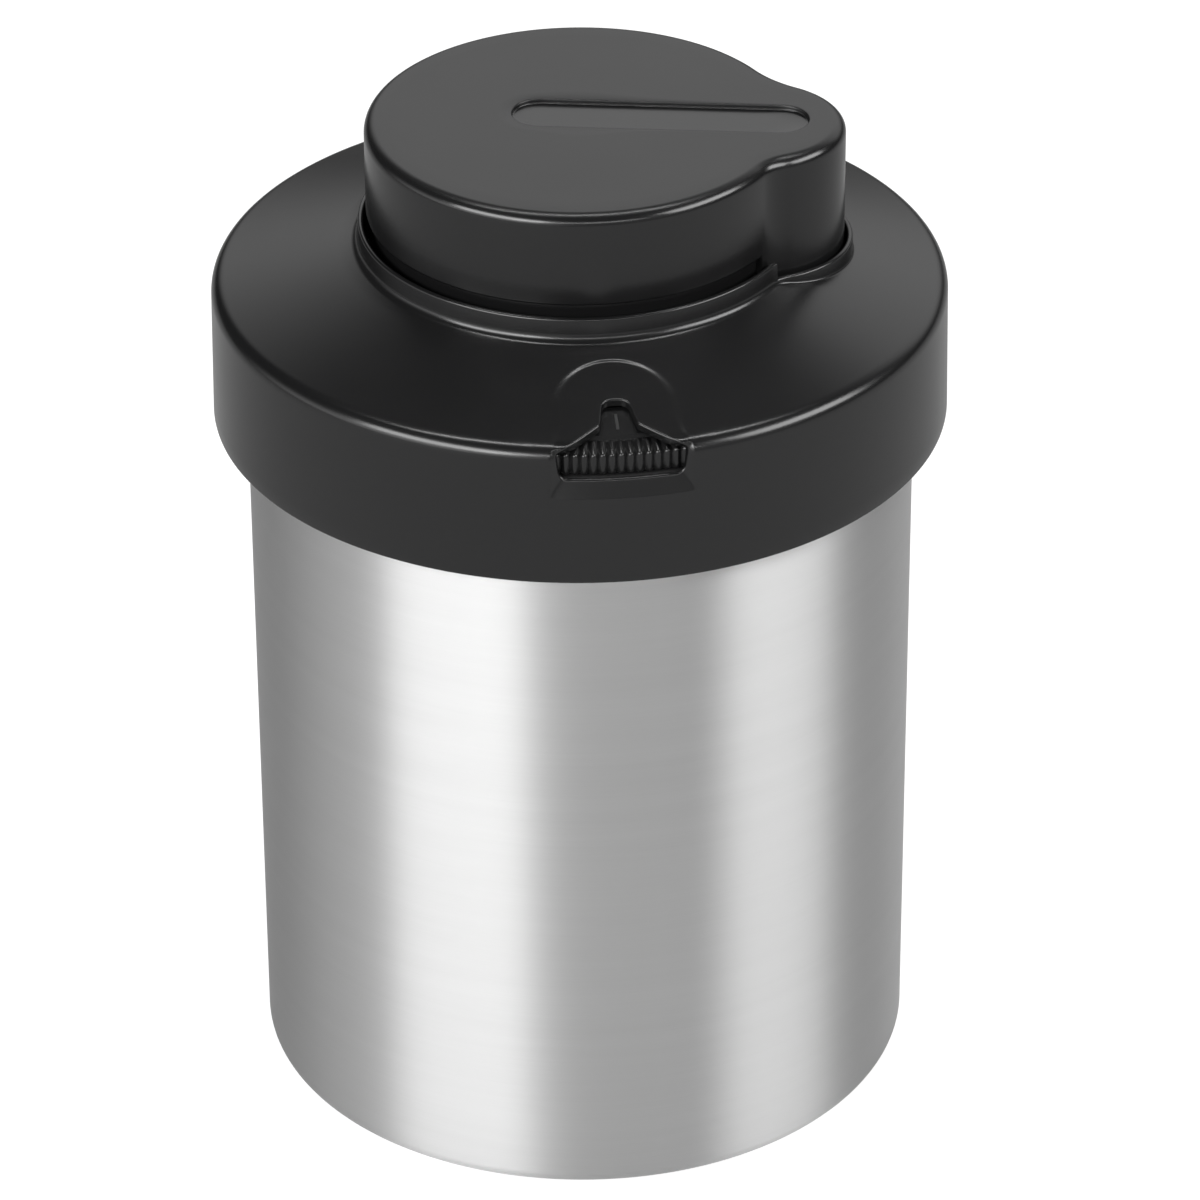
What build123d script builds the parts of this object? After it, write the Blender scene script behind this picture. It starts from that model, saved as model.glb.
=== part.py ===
from build123d import *
import os
from math import cos, hypot, pi, radians, sin, sqrt, tan

# A coffee canister of brushed steel with a pump lid and a date ring.
# The lid plugs into the can and seals on its bore. Its teardrop cap is pressed
# down again and again to pump the air out of the can, and a spring lifts it.
# A knurled ring under the lid turns to the day of filling, read in a window.
# The origin is the centre of the base, on the surface that it stands on.
# +Z is up, the date window faces -Y, and lengths are in millimetres.

# Steel can
can_radius = 55.0
can_height = 134.5
can_wall = 0.7
can_corner_radius = 2.5
foot_width = 5.0
base_recess = 1.4
base_step = 2.0
curl_bore_radius = 0.8

# Lid cover: band, shoulder, cone and collar
rim_clearance = 1.25
lid_edge_flare = 0.35
lid_edge_drop = 13.7
lid_shoulder_rise = 9.84
lid_shoulder_radius = 2.6
lid_wall = 1.6
cone_slope = 15.3
collar_rise = 10.46
collar_wall = 0.95
collar_rounding = 0.35
collar_root_radius = 1.6
lobe_lip_drop = 3.0

# Lid base: the plate that rests on the can and the plug below it
rim_gap = 0.2
plate_thickness = 2.0
plate_edge_gap = 0.35
plug_gap = 1.4
plug_wall = 2.1
plug_depth = 12.5
gasket_groove_height = 6.4
gasket_groove_depth = 1.1
gasket_groove_drop = 3.6
gasket_gap = 0.3
gasket_lip = 0.9

# Date ring and its window
ring_width = 10.2
ring_gap = 0.35
ring_bottom_gap = 0.3
ring_rise = 2.3
ring_hub_width = 2.0
ring_hub_rise = 5.5
track_width = 3.0
days = 31
ridges_per_day = 8
ridge_height = 0.45
ridge_reach = 3.2
ridge_width_share = 0.5
window_half_width = 10.0
window_shoulder_half_width = 11.6
window_drop = 5.34
window_corner_radius = 1.4
notch_half_width = 2.9
notch_base_inset = 5.95
notch_tip_inset = 11.25
scoop_top_half_width = 11.5
scoop_half_width = 12.4
scoop_height = 4.0
scoop_depth = 1.1
arch_gap = 2.75
arch_half_width = 9.9
arch_foot_half_width = 11.7
arch_depth = 0.25

# Teardrop cap
cap_radius_share = 0.576
cap_rise = 17.4
cap_wall = 2.2
cap_edge_radius = 3.7
skirt_gap = 1.5
skirt_rounding = 0.6
lobe_hub_gap = 1.15
lobe_side = 1.1
lobe_radius_share = 0.43
lobe_front_blend_share = 0.23
lobe_back_blend_share = 0.58
lobe_azimuth = -10.7
lobe_press_gap = 0.5
lobe_start_share = 1.17
cap_gap = 0.45
guide_inset = 1.05
guide_wall = 1.5
guide_press_gap = 2.3
badge_length = 48.0
badge_width = 9.6
badge_depth = 0.8
badge_reach = 13.1
badge_offset = 1.6
stroke = 11.0

# Pump cylinder and what closes it
bore_radius_share = 0.65
cylinder_wall = 1.6
cylinder_floor = 2.0
cylinder_fit = 0.1
flange_width = 6.4
flange_thickness = 1.6
intake_hole_radius = 1.2
intake_circle_radius = 4.8
intake_holes = 6
guide_tube_rise = 6.1
guide_tube_drop = 2.6
guide_tube_wall = 3.0
rod_fit = 0.06
spring_seat_height = 1.8
spring_seat_wall = 1.2
spring_seat_gap = 0.4
stop_gap = 0.1
ring_seal_width = 1.4
ring_seal_height = 1.2
ring_seal_inset = 0.7

# Piston and rod
piston_gap = 0.4
piston_seal_gap = 0.25
piston_thickness = 5.5
piston_groove_height = 2.6
piston_groove_depth = 1.6
piston_floor_gap = 2.2
exhaust_hole_radius = 1.3
exhaust_circle_radius = 10.5
exhaust_holes = 6
exhaust_flap_radius = 14.0
flap_thickness = 0.8
rod_radius = 5.0
rod_flange_radius = 7.5
rod_flange_thickness = 1.5
rod_socket_wall = 2.5
rod_socket_depth = 9.0
rod_screw_depth = 10.0

# Intake valve, filter and its ring
umbrella_radius = 7.6
umbrella_thickness = 0.9
umbrella_stem_radius = 1.5
umbrella_knob_radius = 2.1
umbrella_knob_height = 1.6
filter_rim_radius = 15.5
filter_rim_wall = 1.6
filter_rim_height = 3.4
filter_thickness = 0.4
filter_hole_radius = 0.9
filter_hole_pitch = 4.2
filter_rows = 2
filter_row_holes = 6
filter_ring_height = 1.0
filter_ring_width = 1.6

# Screws: shank and head radius, head height
lid_screw_radius = 1.5
lid_screw_head_radius = 2.8
lid_screw_head_height = 1.9
lid_screw_depth = 9.5
lid_screws_count = 4
lid_boss_wall = 1.7
small_screw_radius = 1.25
small_screw_head_radius = 2.2
small_screw_head_height = 1.5
small_screw_inset = 2.3
small_screw_depth = 7.5
small_screws_count = 3
small_boss_wall = 1.6
small_boss_depth = 5.5
screw_recess_share = 0.5

# Return spring
spring_wire_radius = 0.75
spring_turns = 6.0
spring_end_turns = 1.0
spring_end_pitch = 2.1
spring_arcs_per_turn = 4

# One overrun serves every cut
overrun = 5.0

# Sizes worked out from the ones above
cone_rise = tan(radians(cone_slope))
can_bore_radius = can_radius - can_wall
curl_radius = curl_bore_radius + can_wall
lid_radius = can_bore_radius + curl_radius * 2 + rim_clearance + lid_wall
lid_edge_radius = lid_radius + lid_edge_flare
lid_edge_height = can_height - lid_edge_drop
lid_shoulder_height = can_height + lid_shoulder_rise
collar_height = lid_shoulder_height + collar_rise
lobe_lip_height = collar_height - lobe_lip_drop
cap_height = collar_height + cap_rise
plate_bottom = can_height + rim_gap
plate_top = plate_bottom + plate_thickness
plate_radius = lid_radius - lid_wall - plate_edge_gap
plug_radius = can_bore_radius - plug_gap
plug_bore_radius = plug_radius - plug_wall
plug_bottom = plate_bottom - plug_depth
gasket_top = plate_bottom - gasket_groove_drop
gasket_bottom = gasket_top - gasket_groove_height
ring_radius = lid_radius - lid_wall - ring_gap
ring_bore_radius = ring_radius - ring_width
ring_hub_radius = ring_bore_radius - ring_gap
ring_hub_bore_radius = ring_hub_radius - ring_hub_width
ring_hub_height = plate_top + ring_hub_rise
ring_bottom_height = plate_top + ring_rise
window_bottom_height = lid_shoulder_height - window_drop
scoop_bottom_height = window_bottom_height - scoop_height
notch_base_radius = lid_radius - notch_base_inset
notch_tip_radius = lid_radius - notch_tip_inset
cap_radius = lid_radius * cap_radius_share
collar_radius = cap_radius + cap_gap + collar_wall
arch_top_radius = collar_radius + arch_gap
lobe_radius = cap_radius * lobe_radius_share
lobe_front_blend = cap_radius * lobe_front_blend_share
lobe_back_blend = cap_radius * lobe_back_blend_share
lobe_reach = ring_hub_bore_radius - lobe_hub_gap - collar_wall - cap_gap - lobe_radius
lobe_start = lobe_reach * lobe_start_share
skirt_height = collar_height + skirt_gap
lobe_skirt_height = plate_top + stroke + lobe_press_gap
guide_height = plate_top + stroke + guide_press_gap
cap_ceiling = cap_height - cap_wall
bore_radius = cap_radius * bore_radius_share
flange_radius = bore_radius + cylinder_wall + flange_width
flange_top = plate_top + flange_thickness
cover_top = flange_top + flange_thickness
guide_tube_height = cover_top + guide_tube_rise
guide_tube_bottom = flange_top - guide_tube_drop
guide_tube_radius = rod_radius + rod_fit + guide_tube_wall
rod_flange_top = guide_tube_bottom - stop_gap
rod_flange_bottom = rod_flange_top - rod_flange_thickness
piston_top = rod_flange_bottom - flap_thickness
piston_bottom = piston_top - piston_thickness
piston_radius = bore_radius - piston_gap
floor_top = piston_bottom - stroke - piston_floor_gap
cylinder_bottom_height = floor_top - cylinder_floor
rod_top = cap_ceiling
socket_bottom = cap_ceiling - rod_socket_depth
socket_radius = rod_radius + rod_socket_wall
spring_seat_radius = guide_tube_radius + spring_seat_gap + spring_seat_wall
spring_radius = spring_seat_radius + spring_seat_gap + spring_wire_radius * 2
filter_top = cylinder_bottom_height - filter_rim_height + filter_ring_height + filter_thickness
filter_radius = filter_rim_radius - filter_rim_wall
lid_screw_circle_radius = (collar_radius + ring_hub_bore_radius) / 2
small_screw_circle_radius = flange_radius - small_screw_inset


def cone_height(radius):
    """Height of the cone's upper face at a radius."""
    return lid_shoulder_height + (lid_radius - radius) * cone_rise


def section(*corners):
    """A closed outline through (radius, height) corners, each with an optional rounding."""
    points = [corner[:2] for corner in corners]
    roundings = [corner[2] if len(corner) > 2 else 0 for corner in corners]
    return make_face(FilletPolyline(*points, radius=roundings, close=True))


def turned(*corners):
    """A solid of revolution about Z from the corners of its half section."""
    return revolve(Plane.XZ * section(*corners), Axis.Z)


def column(radius, bottom, top, centre=(0, 0)):
    """An upright cylinder between two heights."""
    face = Pos(centre[0], centre[1], bottom) * Circle(radius)
    return extrude(face, top - bottom)


def tube(outer, inner, bottom, top):
    """An upright tube between two heights."""
    face = Pos(0, 0, bottom) * (Circle(outer) - Circle(inner))
    return extrude(face, top - bottom)


def circle_points(radius, count, start=0):
    """Evenly spaced places on a circle, the first at an angle in degrees."""
    step = 2 * pi / count
    angles = [radians(start) + step * i for i in range(count)]
    return [(radius * cos(angle), radius * sin(angle)) for angle in angles]


def screw(radius, head_radius, head_height, length, place, seat, upward):
    """A pan-head screw with a drive recess; its head sits on the seat height."""
    head = column(head_radius, -head_height, 0)
    head = fillet(head.edges().group_by(Axis.Z)[0], head_height * screw_recess_share)
    shank = column(radius, 0, length)
    recess = Pos(0, 0, -head_height) * Box(head_radius, radius * screw_recess_share, head_height)
    recess += Pos(0, 0, -head_height) * Box(radius * screw_recess_share, head_radius, head_height)
    body = head + shank - recess
    if not upward:
        body = Rot(180, 0, 0) * body
    return Pos(place[0], place[1], seat) * body


def teardrop(offset):
    """The cap's outline in plan, moved outwards by an offset.

    A large circle and a smaller one beside it, joined by hollow blends that touch both,
    a tight one at the front and a gentle one at the back.
    """
    main = cap_radius + offset
    lobe = lobe_radius + offset
    front = hollow(main, lobe, lobe_front_blend - offset, -1)
    back = hollow(main, lobe, lobe_back_blend - offset, 1)
    outline = ThreePointArc(back[0], (-main, 0), front[0])
    outline += ThreePointArc(*front)
    outline += ThreePointArc(front[2], (lobe_reach + lobe, lobe_side), back[2])
    outline += ThreePointArc(back[2], back[1], back[0])
    return make_face(outline)


def hollow(main, lobe, blend, side):
    """Start, middle and end of the hollow arc that touches both circles on one side."""
    far = main + blend
    near = lobe + blend
    span = hypot(lobe_reach, lobe_side)
    along = (far ** 2 - near ** 2 + span ** 2) / (2 * span)
    across = side * sqrt(far ** 2 - along ** 2)
    x = (lobe_reach * along - lobe_side * across) / span
    y = (lobe_side * along + lobe_reach * across) / span
    start = (x * main / far, y * main / far)
    end = (lobe_reach + (x - lobe_reach) * lobe / near, lobe_side + (y - lobe_side) * lobe / near)
    return start, arc_middle((x, y), start, end, blend), end


def arc_middle(centre, first, second, radius):
    """The point of a circle that lies midway between two of its points."""
    x = (first[0] + second[0]) / 2 - centre[0]
    y = (first[1] + second[1]) / 2 - centre[1]
    reach = hypot(x, y)
    return (centre[0] + x * radius / reach, centre[1] + y * radius / reach)


def teardrop_prism(offset, bottom, top):
    """The teardrop outline raised between two heights, in the lobe's own frame."""
    return extrude(Pos(0, 0, bottom) * teardrop(offset), top - bottom)


def half_space(start, bottom, top, beyond):
    """A block on one side of the line across the lobe's root, seen in the lobe's frame."""
    reach = lid_radius + overrun
    low = start if beyond else -reach
    high = reach if beyond else start
    block = Box(high - low, 2 * reach, top - bottom, align=(Align.MIN, Align.CENTER, Align.MIN))
    return Pos(low, 0, bottom) * block


def make_canister():
    """Deep-drawn can: recessed base on a foot ring, rounded corner, rim rolled outwards."""
    foot_outer = can_radius - can_corner_radius
    foot_inner = foot_outer - foot_width
    curl_centre_radius = can_bore_radius + curl_radius
    curl_centre_height = can_height - curl_radius
    inner_corner = can_corner_radius - can_wall
    shell = turned(
        (0, base_recess),
        (foot_inner - base_step, base_recess),
        (foot_inner, 0),
        (can_radius, 0, can_corner_radius),
        (can_radius, curl_centre_height),
        (can_bore_radius, curl_centre_height),
        (can_bore_radius, can_wall, inner_corner),
        (foot_inner, can_wall),
        (foot_inner - base_step, base_recess + can_wall),
        (0, base_recess + can_wall),
    )
    curl = Circle(curl_radius) - Circle(curl_bore_radius)
    open_quarter = Rectangle(curl_radius, curl_radius, align=(Align.MAX, Align.MAX))
    curl -= open_quarter
    place = Pos(curl_centre_radius, curl_centre_height)
    rim = revolve(Plane.XZ * (place * curl), Axis.Z)
    return shell + rim


def make_cover():
    """Moulded lid cover: band, shoulder, cone, teardrop collar, window, scoop and arch."""
    slant_wall = lid_wall / cos(radians(cone_slope))
    inner_radius = lid_radius - lid_wall
    inner_edge = lid_edge_radius - lid_wall
    root = cap_radius + cap_gap
    outer = collar_radius
    shell = turned(
        (lid_edge_radius, lid_edge_height, lid_wall / 4),
        (lid_radius, lid_shoulder_height, lid_shoulder_radius),
        (root, cone_height(root)),
        (root, cone_height(root) - slant_wall),
        (inner_radius, cone_height(inner_radius) - slant_wall, lid_shoulder_radius - lid_wall),
        (inner_edge, lid_edge_height, lid_wall / 4),
    )
    fillet_drop = collar_root_radius * cone_rise
    root_fillet = turned(
        (outer - collar_wall / 2, cone_height(outer) - fillet_drop),
        (outer + collar_root_radius * 2, cone_height(outer + collar_root_radius * 2) - fillet_drop),
        (outer + collar_root_radius * 2, cone_height(outer + collar_root_radius * 2)),
        (outer, cone_height(outer), collar_root_radius),
        (outer, cone_height(outer) + collar_root_radius * 2),
        (outer - collar_wall / 2, cone_height(outer) + collar_root_radius * 2),
    )
    turn = Rot(0, 0, lobe_azimuth)
    well = teardrop_prism(cap_gap, plate_top - overrun, collar_height + overrun)
    cover = shell + root_fillet - turn * well
    for place in lid_screw_places():
        reach = cone_height(lid_screw_circle_radius)
        boss = column(lid_screw_radius + lid_boss_wall, plate_top, reach, place)
        cover += boss & turned_below_cone()
    for place in lid_screw_places():
        cover -= column(lid_screw_radius, plate_top - overrun, plate_top + lid_screw_depth, place)
    tall = collar_ring(collar_height) - half_space(lobe_start, lobe_lip_height, collar_height + overrun, True)
    cover += turn * tall
    cover += turn * collar_ring(lobe_lip_height)
    cover -= window_cut()
    cover -= scoop_cut()
    return cover - arch_cut()


def collar_ring(top):
    """Teardrop wall from the base plate up to a rounded rim."""
    ring = teardrop_prism(cap_gap + collar_wall, plate_top, top)
    ring -= teardrop_prism(cap_gap, plate_top, top)
    return fillet(ring.edges().group_by(Axis.Z)[-1], collar_rounding)


def turned_below_cone():
    """All the space under the middle of the cone's wall, to trim the screw bosses."""
    depth = lid_wall / 2
    return turned(
        (0, plate_top - overrun),
        (lid_radius, plate_top - overrun),
        (lid_radius, cone_height(lid_radius) - depth),
        (0, cone_height(0) - depth),
    )


def lid_screw_places():
    """Screw places: one between the window and the lobe, the rest evenly round from it."""
    return circle_points(lid_screw_circle_radius, lid_screws_count, lobe_azimuth + 180 / lid_screws_count)


def window_cut():
    """Upright cut through the band and the cone's edge, with a rounded notch inwards."""
    front = lid_radius + overrun
    tip = notch_tip_radius + notch_half_width
    outline = Polyline(
        (-notch_half_width, -tip),
        (-notch_half_width, -notch_base_radius),
        (-window_shoulder_half_width, -lid_radius),
        (-window_shoulder_half_width, -front),
        (window_shoulder_half_width, -front),
        (window_shoulder_half_width, -lid_radius),
        (notch_half_width, -notch_base_radius),
        (notch_half_width, -tip),
    )
    outline += ThreePointArc((notch_half_width, -tip), (0, -notch_tip_radius), (-notch_half_width, -tip))
    plan = extrude(Pos(0, 0, window_bottom_height) * make_face(outline), lid_radius)
    rise = lid_shoulder_height - window_bottom_height
    slot = section(
        (-window_half_width, window_bottom_height, window_corner_radius),
        (window_half_width, window_bottom_height, window_corner_radius),
        (window_shoulder_half_width, window_bottom_height + rise),
        (window_shoulder_half_width, window_bottom_height + rise + overrun * 2),
        (-window_shoulder_half_width, window_bottom_height + rise + overrun * 2),
        (-window_shoulder_half_width, window_bottom_height + rise),
    )
    front_view = extrude(Plane.XZ * slot, front)
    return plan & front_view


def scoop_cut():
    """Relief for the thumb, deepest where it meets the window, with sides that flare downwards."""
    low = (lid_radius + lid_edge_radius) / 2
    wedge = turned(
        (low, scoop_bottom_height),
        (low + overrun, scoop_bottom_height),
        (low + overrun, lid_shoulder_height),
        (low - scoop_depth, lid_shoulder_height),
        (low - scoop_depth, window_bottom_height),
    )
    fan = section(
        (-scoop_half_width, scoop_bottom_height),
        (scoop_half_width, scoop_bottom_height),
        (scoop_top_half_width, lid_shoulder_height),
        (-scoop_top_half_width, lid_shoulder_height),
    )
    return wedge & extrude(Plane.XZ * fan, lid_radius + overrun)


def arch_cut():
    """Shallow arch-shaped panel pressed into the cone above the window."""
    spring = arch_top_radius + arch_half_width
    outline = Polyline(
        (-arch_half_width, -spring),
        (-arch_foot_half_width, -lid_radius),
        (arch_foot_half_width, -lid_radius),
        (arch_half_width, -spring),
    )
    outline += ThreePointArc((arch_half_width, -spring), (0, -arch_top_radius), (-arch_half_width, -spring))
    prism = extrude(Pos(0, 0, ring_bottom_height) * make_face(outline), lid_radius)
    edge = lid_radius - lid_shoulder_radius
    above = turned(
        (0, cone_height(0) - arch_depth),
        (edge, cone_height(edge) - arch_depth),
        (edge, cone_height(0) + overrun),
        (0, cone_height(0) + overrun),
    )
    return prism & above


def make_lid_base():
    """Inner plate of the lid: plug with its gasket groove, ring track, hub and screw bosses."""
    groove_radius = plug_radius - gasket_groove_depth
    track_top = ring_bottom_height - ring_bottom_gap
    track_outer = ring_radius - ring_gap
    hole = bore_radius + cylinder_wall + cylinder_fit
    base = turned(
        (hole, plate_bottom),
        (plug_bore_radius, plate_bottom),
        (plug_bore_radius, plug_bottom, plug_wall / 4),
        (plug_radius, plug_bottom, plug_wall / 4),
        (plug_radius, gasket_bottom),
        (groove_radius, gasket_bottom),
        (groove_radius, gasket_top),
        (plug_radius, gasket_top),
        (plug_radius, plate_bottom),
        (plate_radius, plate_bottom),
        (plate_radius, plate_top),
        (track_outer, plate_top),
        (track_outer, track_top),
        (track_outer - track_width, track_top),
        (track_outer - track_width, plate_top),
        (ring_hub_radius, plate_top),
        (ring_hub_radius, ring_hub_height, ring_hub_width / 4),
        (ring_hub_radius - ring_hub_width, ring_hub_height, ring_hub_width / 4),
        (ring_hub_radius - ring_hub_width, plate_top),
        (hole, plate_top),
    )
    for place in small_screw_places():
        boss = column(small_screw_radius + small_boss_wall, plate_bottom - small_boss_depth, plate_top, place)
        base += boss
    seal_outer = hole + ring_seal_inset + ring_seal_width
    base -= tube(seal_outer, seal_outer - ring_seal_width, plate_top - ring_seal_height, plate_top + overrun)
    for place in small_screw_places():
        base -= column(small_screw_radius, flange_top - small_screw_depth, plate_top + overrun, place)
    for place in lid_screw_places():
        base -= column(lid_screw_radius, plate_bottom - overrun, plate_top + overrun, place)
    return base


def small_screw_places():
    """Places of the screws that hold the cylinder, clear of the lid screws."""
    return circle_points(small_screw_circle_radius, small_screws_count, lobe_azimuth + 90)


def make_gasket():
    """Silicone seal round the plug, with two lips that point up and out to the can's bore."""
    inner = plug_radius - gasket_groove_depth
    outer = can_bore_radius - gasket_gap
    belt = plug_radius + gasket_lip / 4
    step = gasket_groove_height / 4
    return turned(
        (inner, gasket_bottom),
        (belt, gasket_bottom),
        (belt, gasket_bottom + step),
        (outer, gasket_bottom + step + gasket_lip),
        (outer - gasket_lip / 4, gasket_bottom + step + gasket_lip * 1.5),
        (belt, gasket_bottom + step + gasket_lip),
        (belt, gasket_bottom + step * 2.5),
        (outer, gasket_bottom + step * 2.5 + gasket_lip),
        (outer - gasket_lip / 4, gasket_bottom + step * 2.5 + gasket_lip * 1.5),
        (belt, gasket_bottom + step * 2.5 + gasket_lip),
        (belt, gasket_top),
        (inner, gasket_top),
    )


def make_lid_screws():
    """Screws from below through the base plate into the cover's bosses."""
    screws = [
        screw(lid_screw_radius, lid_screw_head_radius, lid_screw_head_height,
              plate_thickness + lid_screw_depth, place, plate_bottom, True)
        for place in lid_screw_places()
    ]
    return Compound(children=[item.solid() for item in screws])


def ring_top(radius):
    """Height of the date ring's upper face, which runs parallel to the cone above it."""
    return cone_height(radius) - lid_wall / cos(radians(cone_slope)) - ring_gap


def make_ring():
    """Date ring: a smooth dial under the cone and a ridged outer edge for the thumb."""
    valley_radius = ring_radius - ridge_height
    ridge_end = ring_radius - ridge_reach
    dial_edge = ridge_end - ridge_height
    dial = turned(
        (ring_bore_radius, ring_bottom_height),
        (valley_radius, ring_bottom_height),
        (valley_radius, ring_top(valley_radius) - ridge_height),
        (ridge_end, ring_top(ridge_end) - ridge_height),
        (dial_edge, ring_top(dial_edge)),
        (ring_bore_radius, ring_top(ring_bore_radius)),
    )
    envelope = turned(
        (dial_edge - ridge_height, ring_bottom_height),
        (ring_radius, ring_bottom_height, ridge_height / 2),
        (ring_radius, ring_top(ring_radius), ridge_height / 2),
        (dial_edge - ridge_height, ring_top(dial_edge - ridge_height) - ridge_height / 4),
    )
    return dial + (envelope & spokes(dial_edge - ridge_height / 2, ring_radius + overrun))


def spokes(inner, outer):
    """A star of radial bars, as wide as the gaps between them, joined inside a radius."""
    count = days * ridges_per_day
    width = pi / count * ridge_width_share
    points = []
    for angle in [2 * pi * i / count for i in range(count)]:
        for radius, side in ((inner, -1), (outer, -1), (outer, 1), (inner, 1)):
            points.append((radius * cos(angle + side * width), radius * sin(angle + side * width)))
    star = make_face(Polyline(*points, close=True))
    return extrude(Pos(0, 0, ring_bottom_height - overrun) * star, overrun * 3)


def make_cap():
    """Teardrop cap: a shell with a guide skirt that runs inside the collar and a rod socket."""
    upper = teardrop_prism(0, skirt_height, cap_height)
    upper = fillet(upper.edges().group_by(Axis.Z)[-1], cap_edge_radius)
    upper = fillet(upper.edges().group_by(Axis.Z)[0], skirt_rounding)
    lower = teardrop_prism(0, lobe_skirt_height, skirt_height + skirt_rounding * 2)
    lower = fillet(lower.edges().group_by(Axis.Z)[0], skirt_rounding)
    lower &= half_space(lobe_start, lobe_skirt_height, cap_height, True)
    inside = teardrop_prism(-cap_wall, lobe_skirt_height - overrun, cap_ceiling)
    cap = upper + lower - inside
    guide_outer = cap_radius - guide_inset
    guide = tube(guide_outer, guide_outer - guide_wall, guide_height, cap_ceiling)
    cap += guide - half_space(lobe_start - guide_wall, guide_height - overrun, cap_height, True)
    cap += tube(socket_radius, rod_radius, socket_bottom, cap_ceiling)
    straight = badge_length - badge_width
    badge = SlotCenterToCenter(straight, badge_width)
    badge = Pos(badge_reach, badge_offset, cap_height - badge_depth) * badge
    cap -= extrude(badge, badge_depth + overrun)
    return Rot(0, 0, lobe_azimuth) * cap


def make_cylinder():
    """Pump cylinder: a flanged cup with intake holes and a rim that holds the filter."""
    outer = bore_radius + cylinder_wall
    rim_bottom = cylinder_bottom_height - filter_rim_height
    cylinder = turned(
        (0, cylinder_bottom_height),
        (filter_radius, cylinder_bottom_height),
        (filter_radius, rim_bottom),
        (filter_rim_radius, rim_bottom),
        (filter_rim_radius, cylinder_bottom_height),
        (outer, cylinder_bottom_height, cylinder_wall),
        (outer, plate_top),
        (flange_radius, plate_top),
        (flange_radius, flange_top),
        (bore_radius, flange_top),
        (bore_radius, floor_top, cylinder_wall / 4),
        (0, floor_top),
    )
    cylinder -= column(umbrella_stem_radius, cylinder_bottom_height - overrun, floor_top + overrun)
    for place in circle_points(intake_circle_radius, intake_holes):
        cylinder -= column(intake_hole_radius, cylinder_bottom_height - overrun, floor_top + overrun, place)
    for place in small_screw_places():
        cylinder -= column(small_screw_radius, plate_top - overrun, flange_top + overrun, place)
    return cylinder


def make_cylinder_cover():
    """Disc on the cylinder's flange with the rod's guide tube and the spring's seat."""
    seat_inner = guide_tube_radius + spring_seat_gap
    bore = rod_radius + rod_fit
    cover = turned(
        (bore, guide_tube_bottom),
        (guide_tube_radius, guide_tube_bottom),
        (guide_tube_radius, flange_top),
        (flange_radius, flange_top),
        (flange_radius, cover_top),
        (seat_inner + spring_seat_wall, cover_top),
        (seat_inner + spring_seat_wall, cover_top + spring_seat_height),
        (seat_inner, cover_top + spring_seat_height),
        (seat_inner, cover_top),
        (guide_tube_radius, cover_top),
        (guide_tube_radius, guide_tube_height),
        (bore, guide_tube_height),
    )
    vents = circle_points((seat_inner + flange_radius) / 2, exhaust_holes, 180 / exhaust_holes)
    for place in vents:
        cover -= column(exhaust_hole_radius, flange_top - overrun, cover_top + overrun, place)
    for place in small_screw_places():
        cover -= column(small_screw_radius, flange_top - overrun, cover_top + overrun, place)
    return cover


def make_cylinder_seal():
    """Flat ring in the plate's groove, pressed by the cylinder's flange."""
    inner = bore_radius + cylinder_wall + cylinder_fit + ring_seal_inset
    return tube(inner + ring_seal_width, inner, plate_top - ring_seal_height, plate_top)


def make_cylinder_screws():
    """Screws from above through the cylinder's cover and flange into the plate's bosses."""
    length = small_screw_depth + flange_thickness
    screws = [
        screw(small_screw_radius, small_screw_head_radius, small_screw_head_height,
              length, place, cover_top, False)
        for place in small_screw_places()
    ]
    return Compound(children=[item.solid() for item in screws])


def make_intake_valve():
    """Silicone umbrella on the cylinder's floor, its stem held by a knob below."""
    knob_top = cylinder_bottom_height
    return turned(
        (0, knob_top - umbrella_knob_height),
        (umbrella_knob_radius, knob_top - umbrella_knob_height, umbrella_knob_radius / 2),
        (umbrella_knob_radius, knob_top),
        (umbrella_stem_radius, knob_top),
        (umbrella_stem_radius, floor_top),
        (umbrella_radius, floor_top),
        (umbrella_radius, floor_top + umbrella_thickness / 2),
        (0, floor_top + umbrella_thickness),
    )


def make_filter_screen():
    """Perforated steel disc that keeps coffee dust out of the valve."""
    bottom = filter_top - filter_thickness
    disc = column(filter_radius, bottom, filter_top)
    holes = [(0, 0)]
    for row in range(1, filter_rows + 1):
        holes += circle_points(filter_hole_pitch * row, filter_row_holes * row)
    for place in holes:
        disc -= column(filter_hole_radius, bottom - overrun, filter_top + overrun, place)
    return disc


def make_filter_ring():
    """Ring that holds the screen in the cylinder's rim."""
    top = filter_top - filter_thickness
    return tube(filter_radius, filter_radius - filter_ring_width, top - filter_ring_height, top)


def make_piston():
    """Piston with a groove for its seal, exhaust holes and a countersunk screw hole."""
    groove_bottom = piston_bottom + (piston_thickness - piston_groove_height) / 2
    groove_top = groove_bottom + piston_groove_height
    groove_radius = piston_radius - piston_groove_depth
    piston = turned(
        (small_screw_radius, piston_bottom + small_screw_head_height),
        (small_screw_head_radius, piston_bottom + small_screw_head_height),
        (small_screw_head_radius, piston_bottom),
        (piston_radius, piston_bottom),
        (piston_radius, groove_bottom),
        (groove_radius, groove_bottom),
        (groove_radius, groove_top),
        (piston_radius, groove_top),
        (piston_radius, piston_top),
        (small_screw_radius, piston_top),
    )
    for place in circle_points(exhaust_circle_radius, exhaust_holes):
        piston -= column(exhaust_hole_radius, piston_bottom - overrun, piston_top + overrun, place)
    return piston


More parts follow.
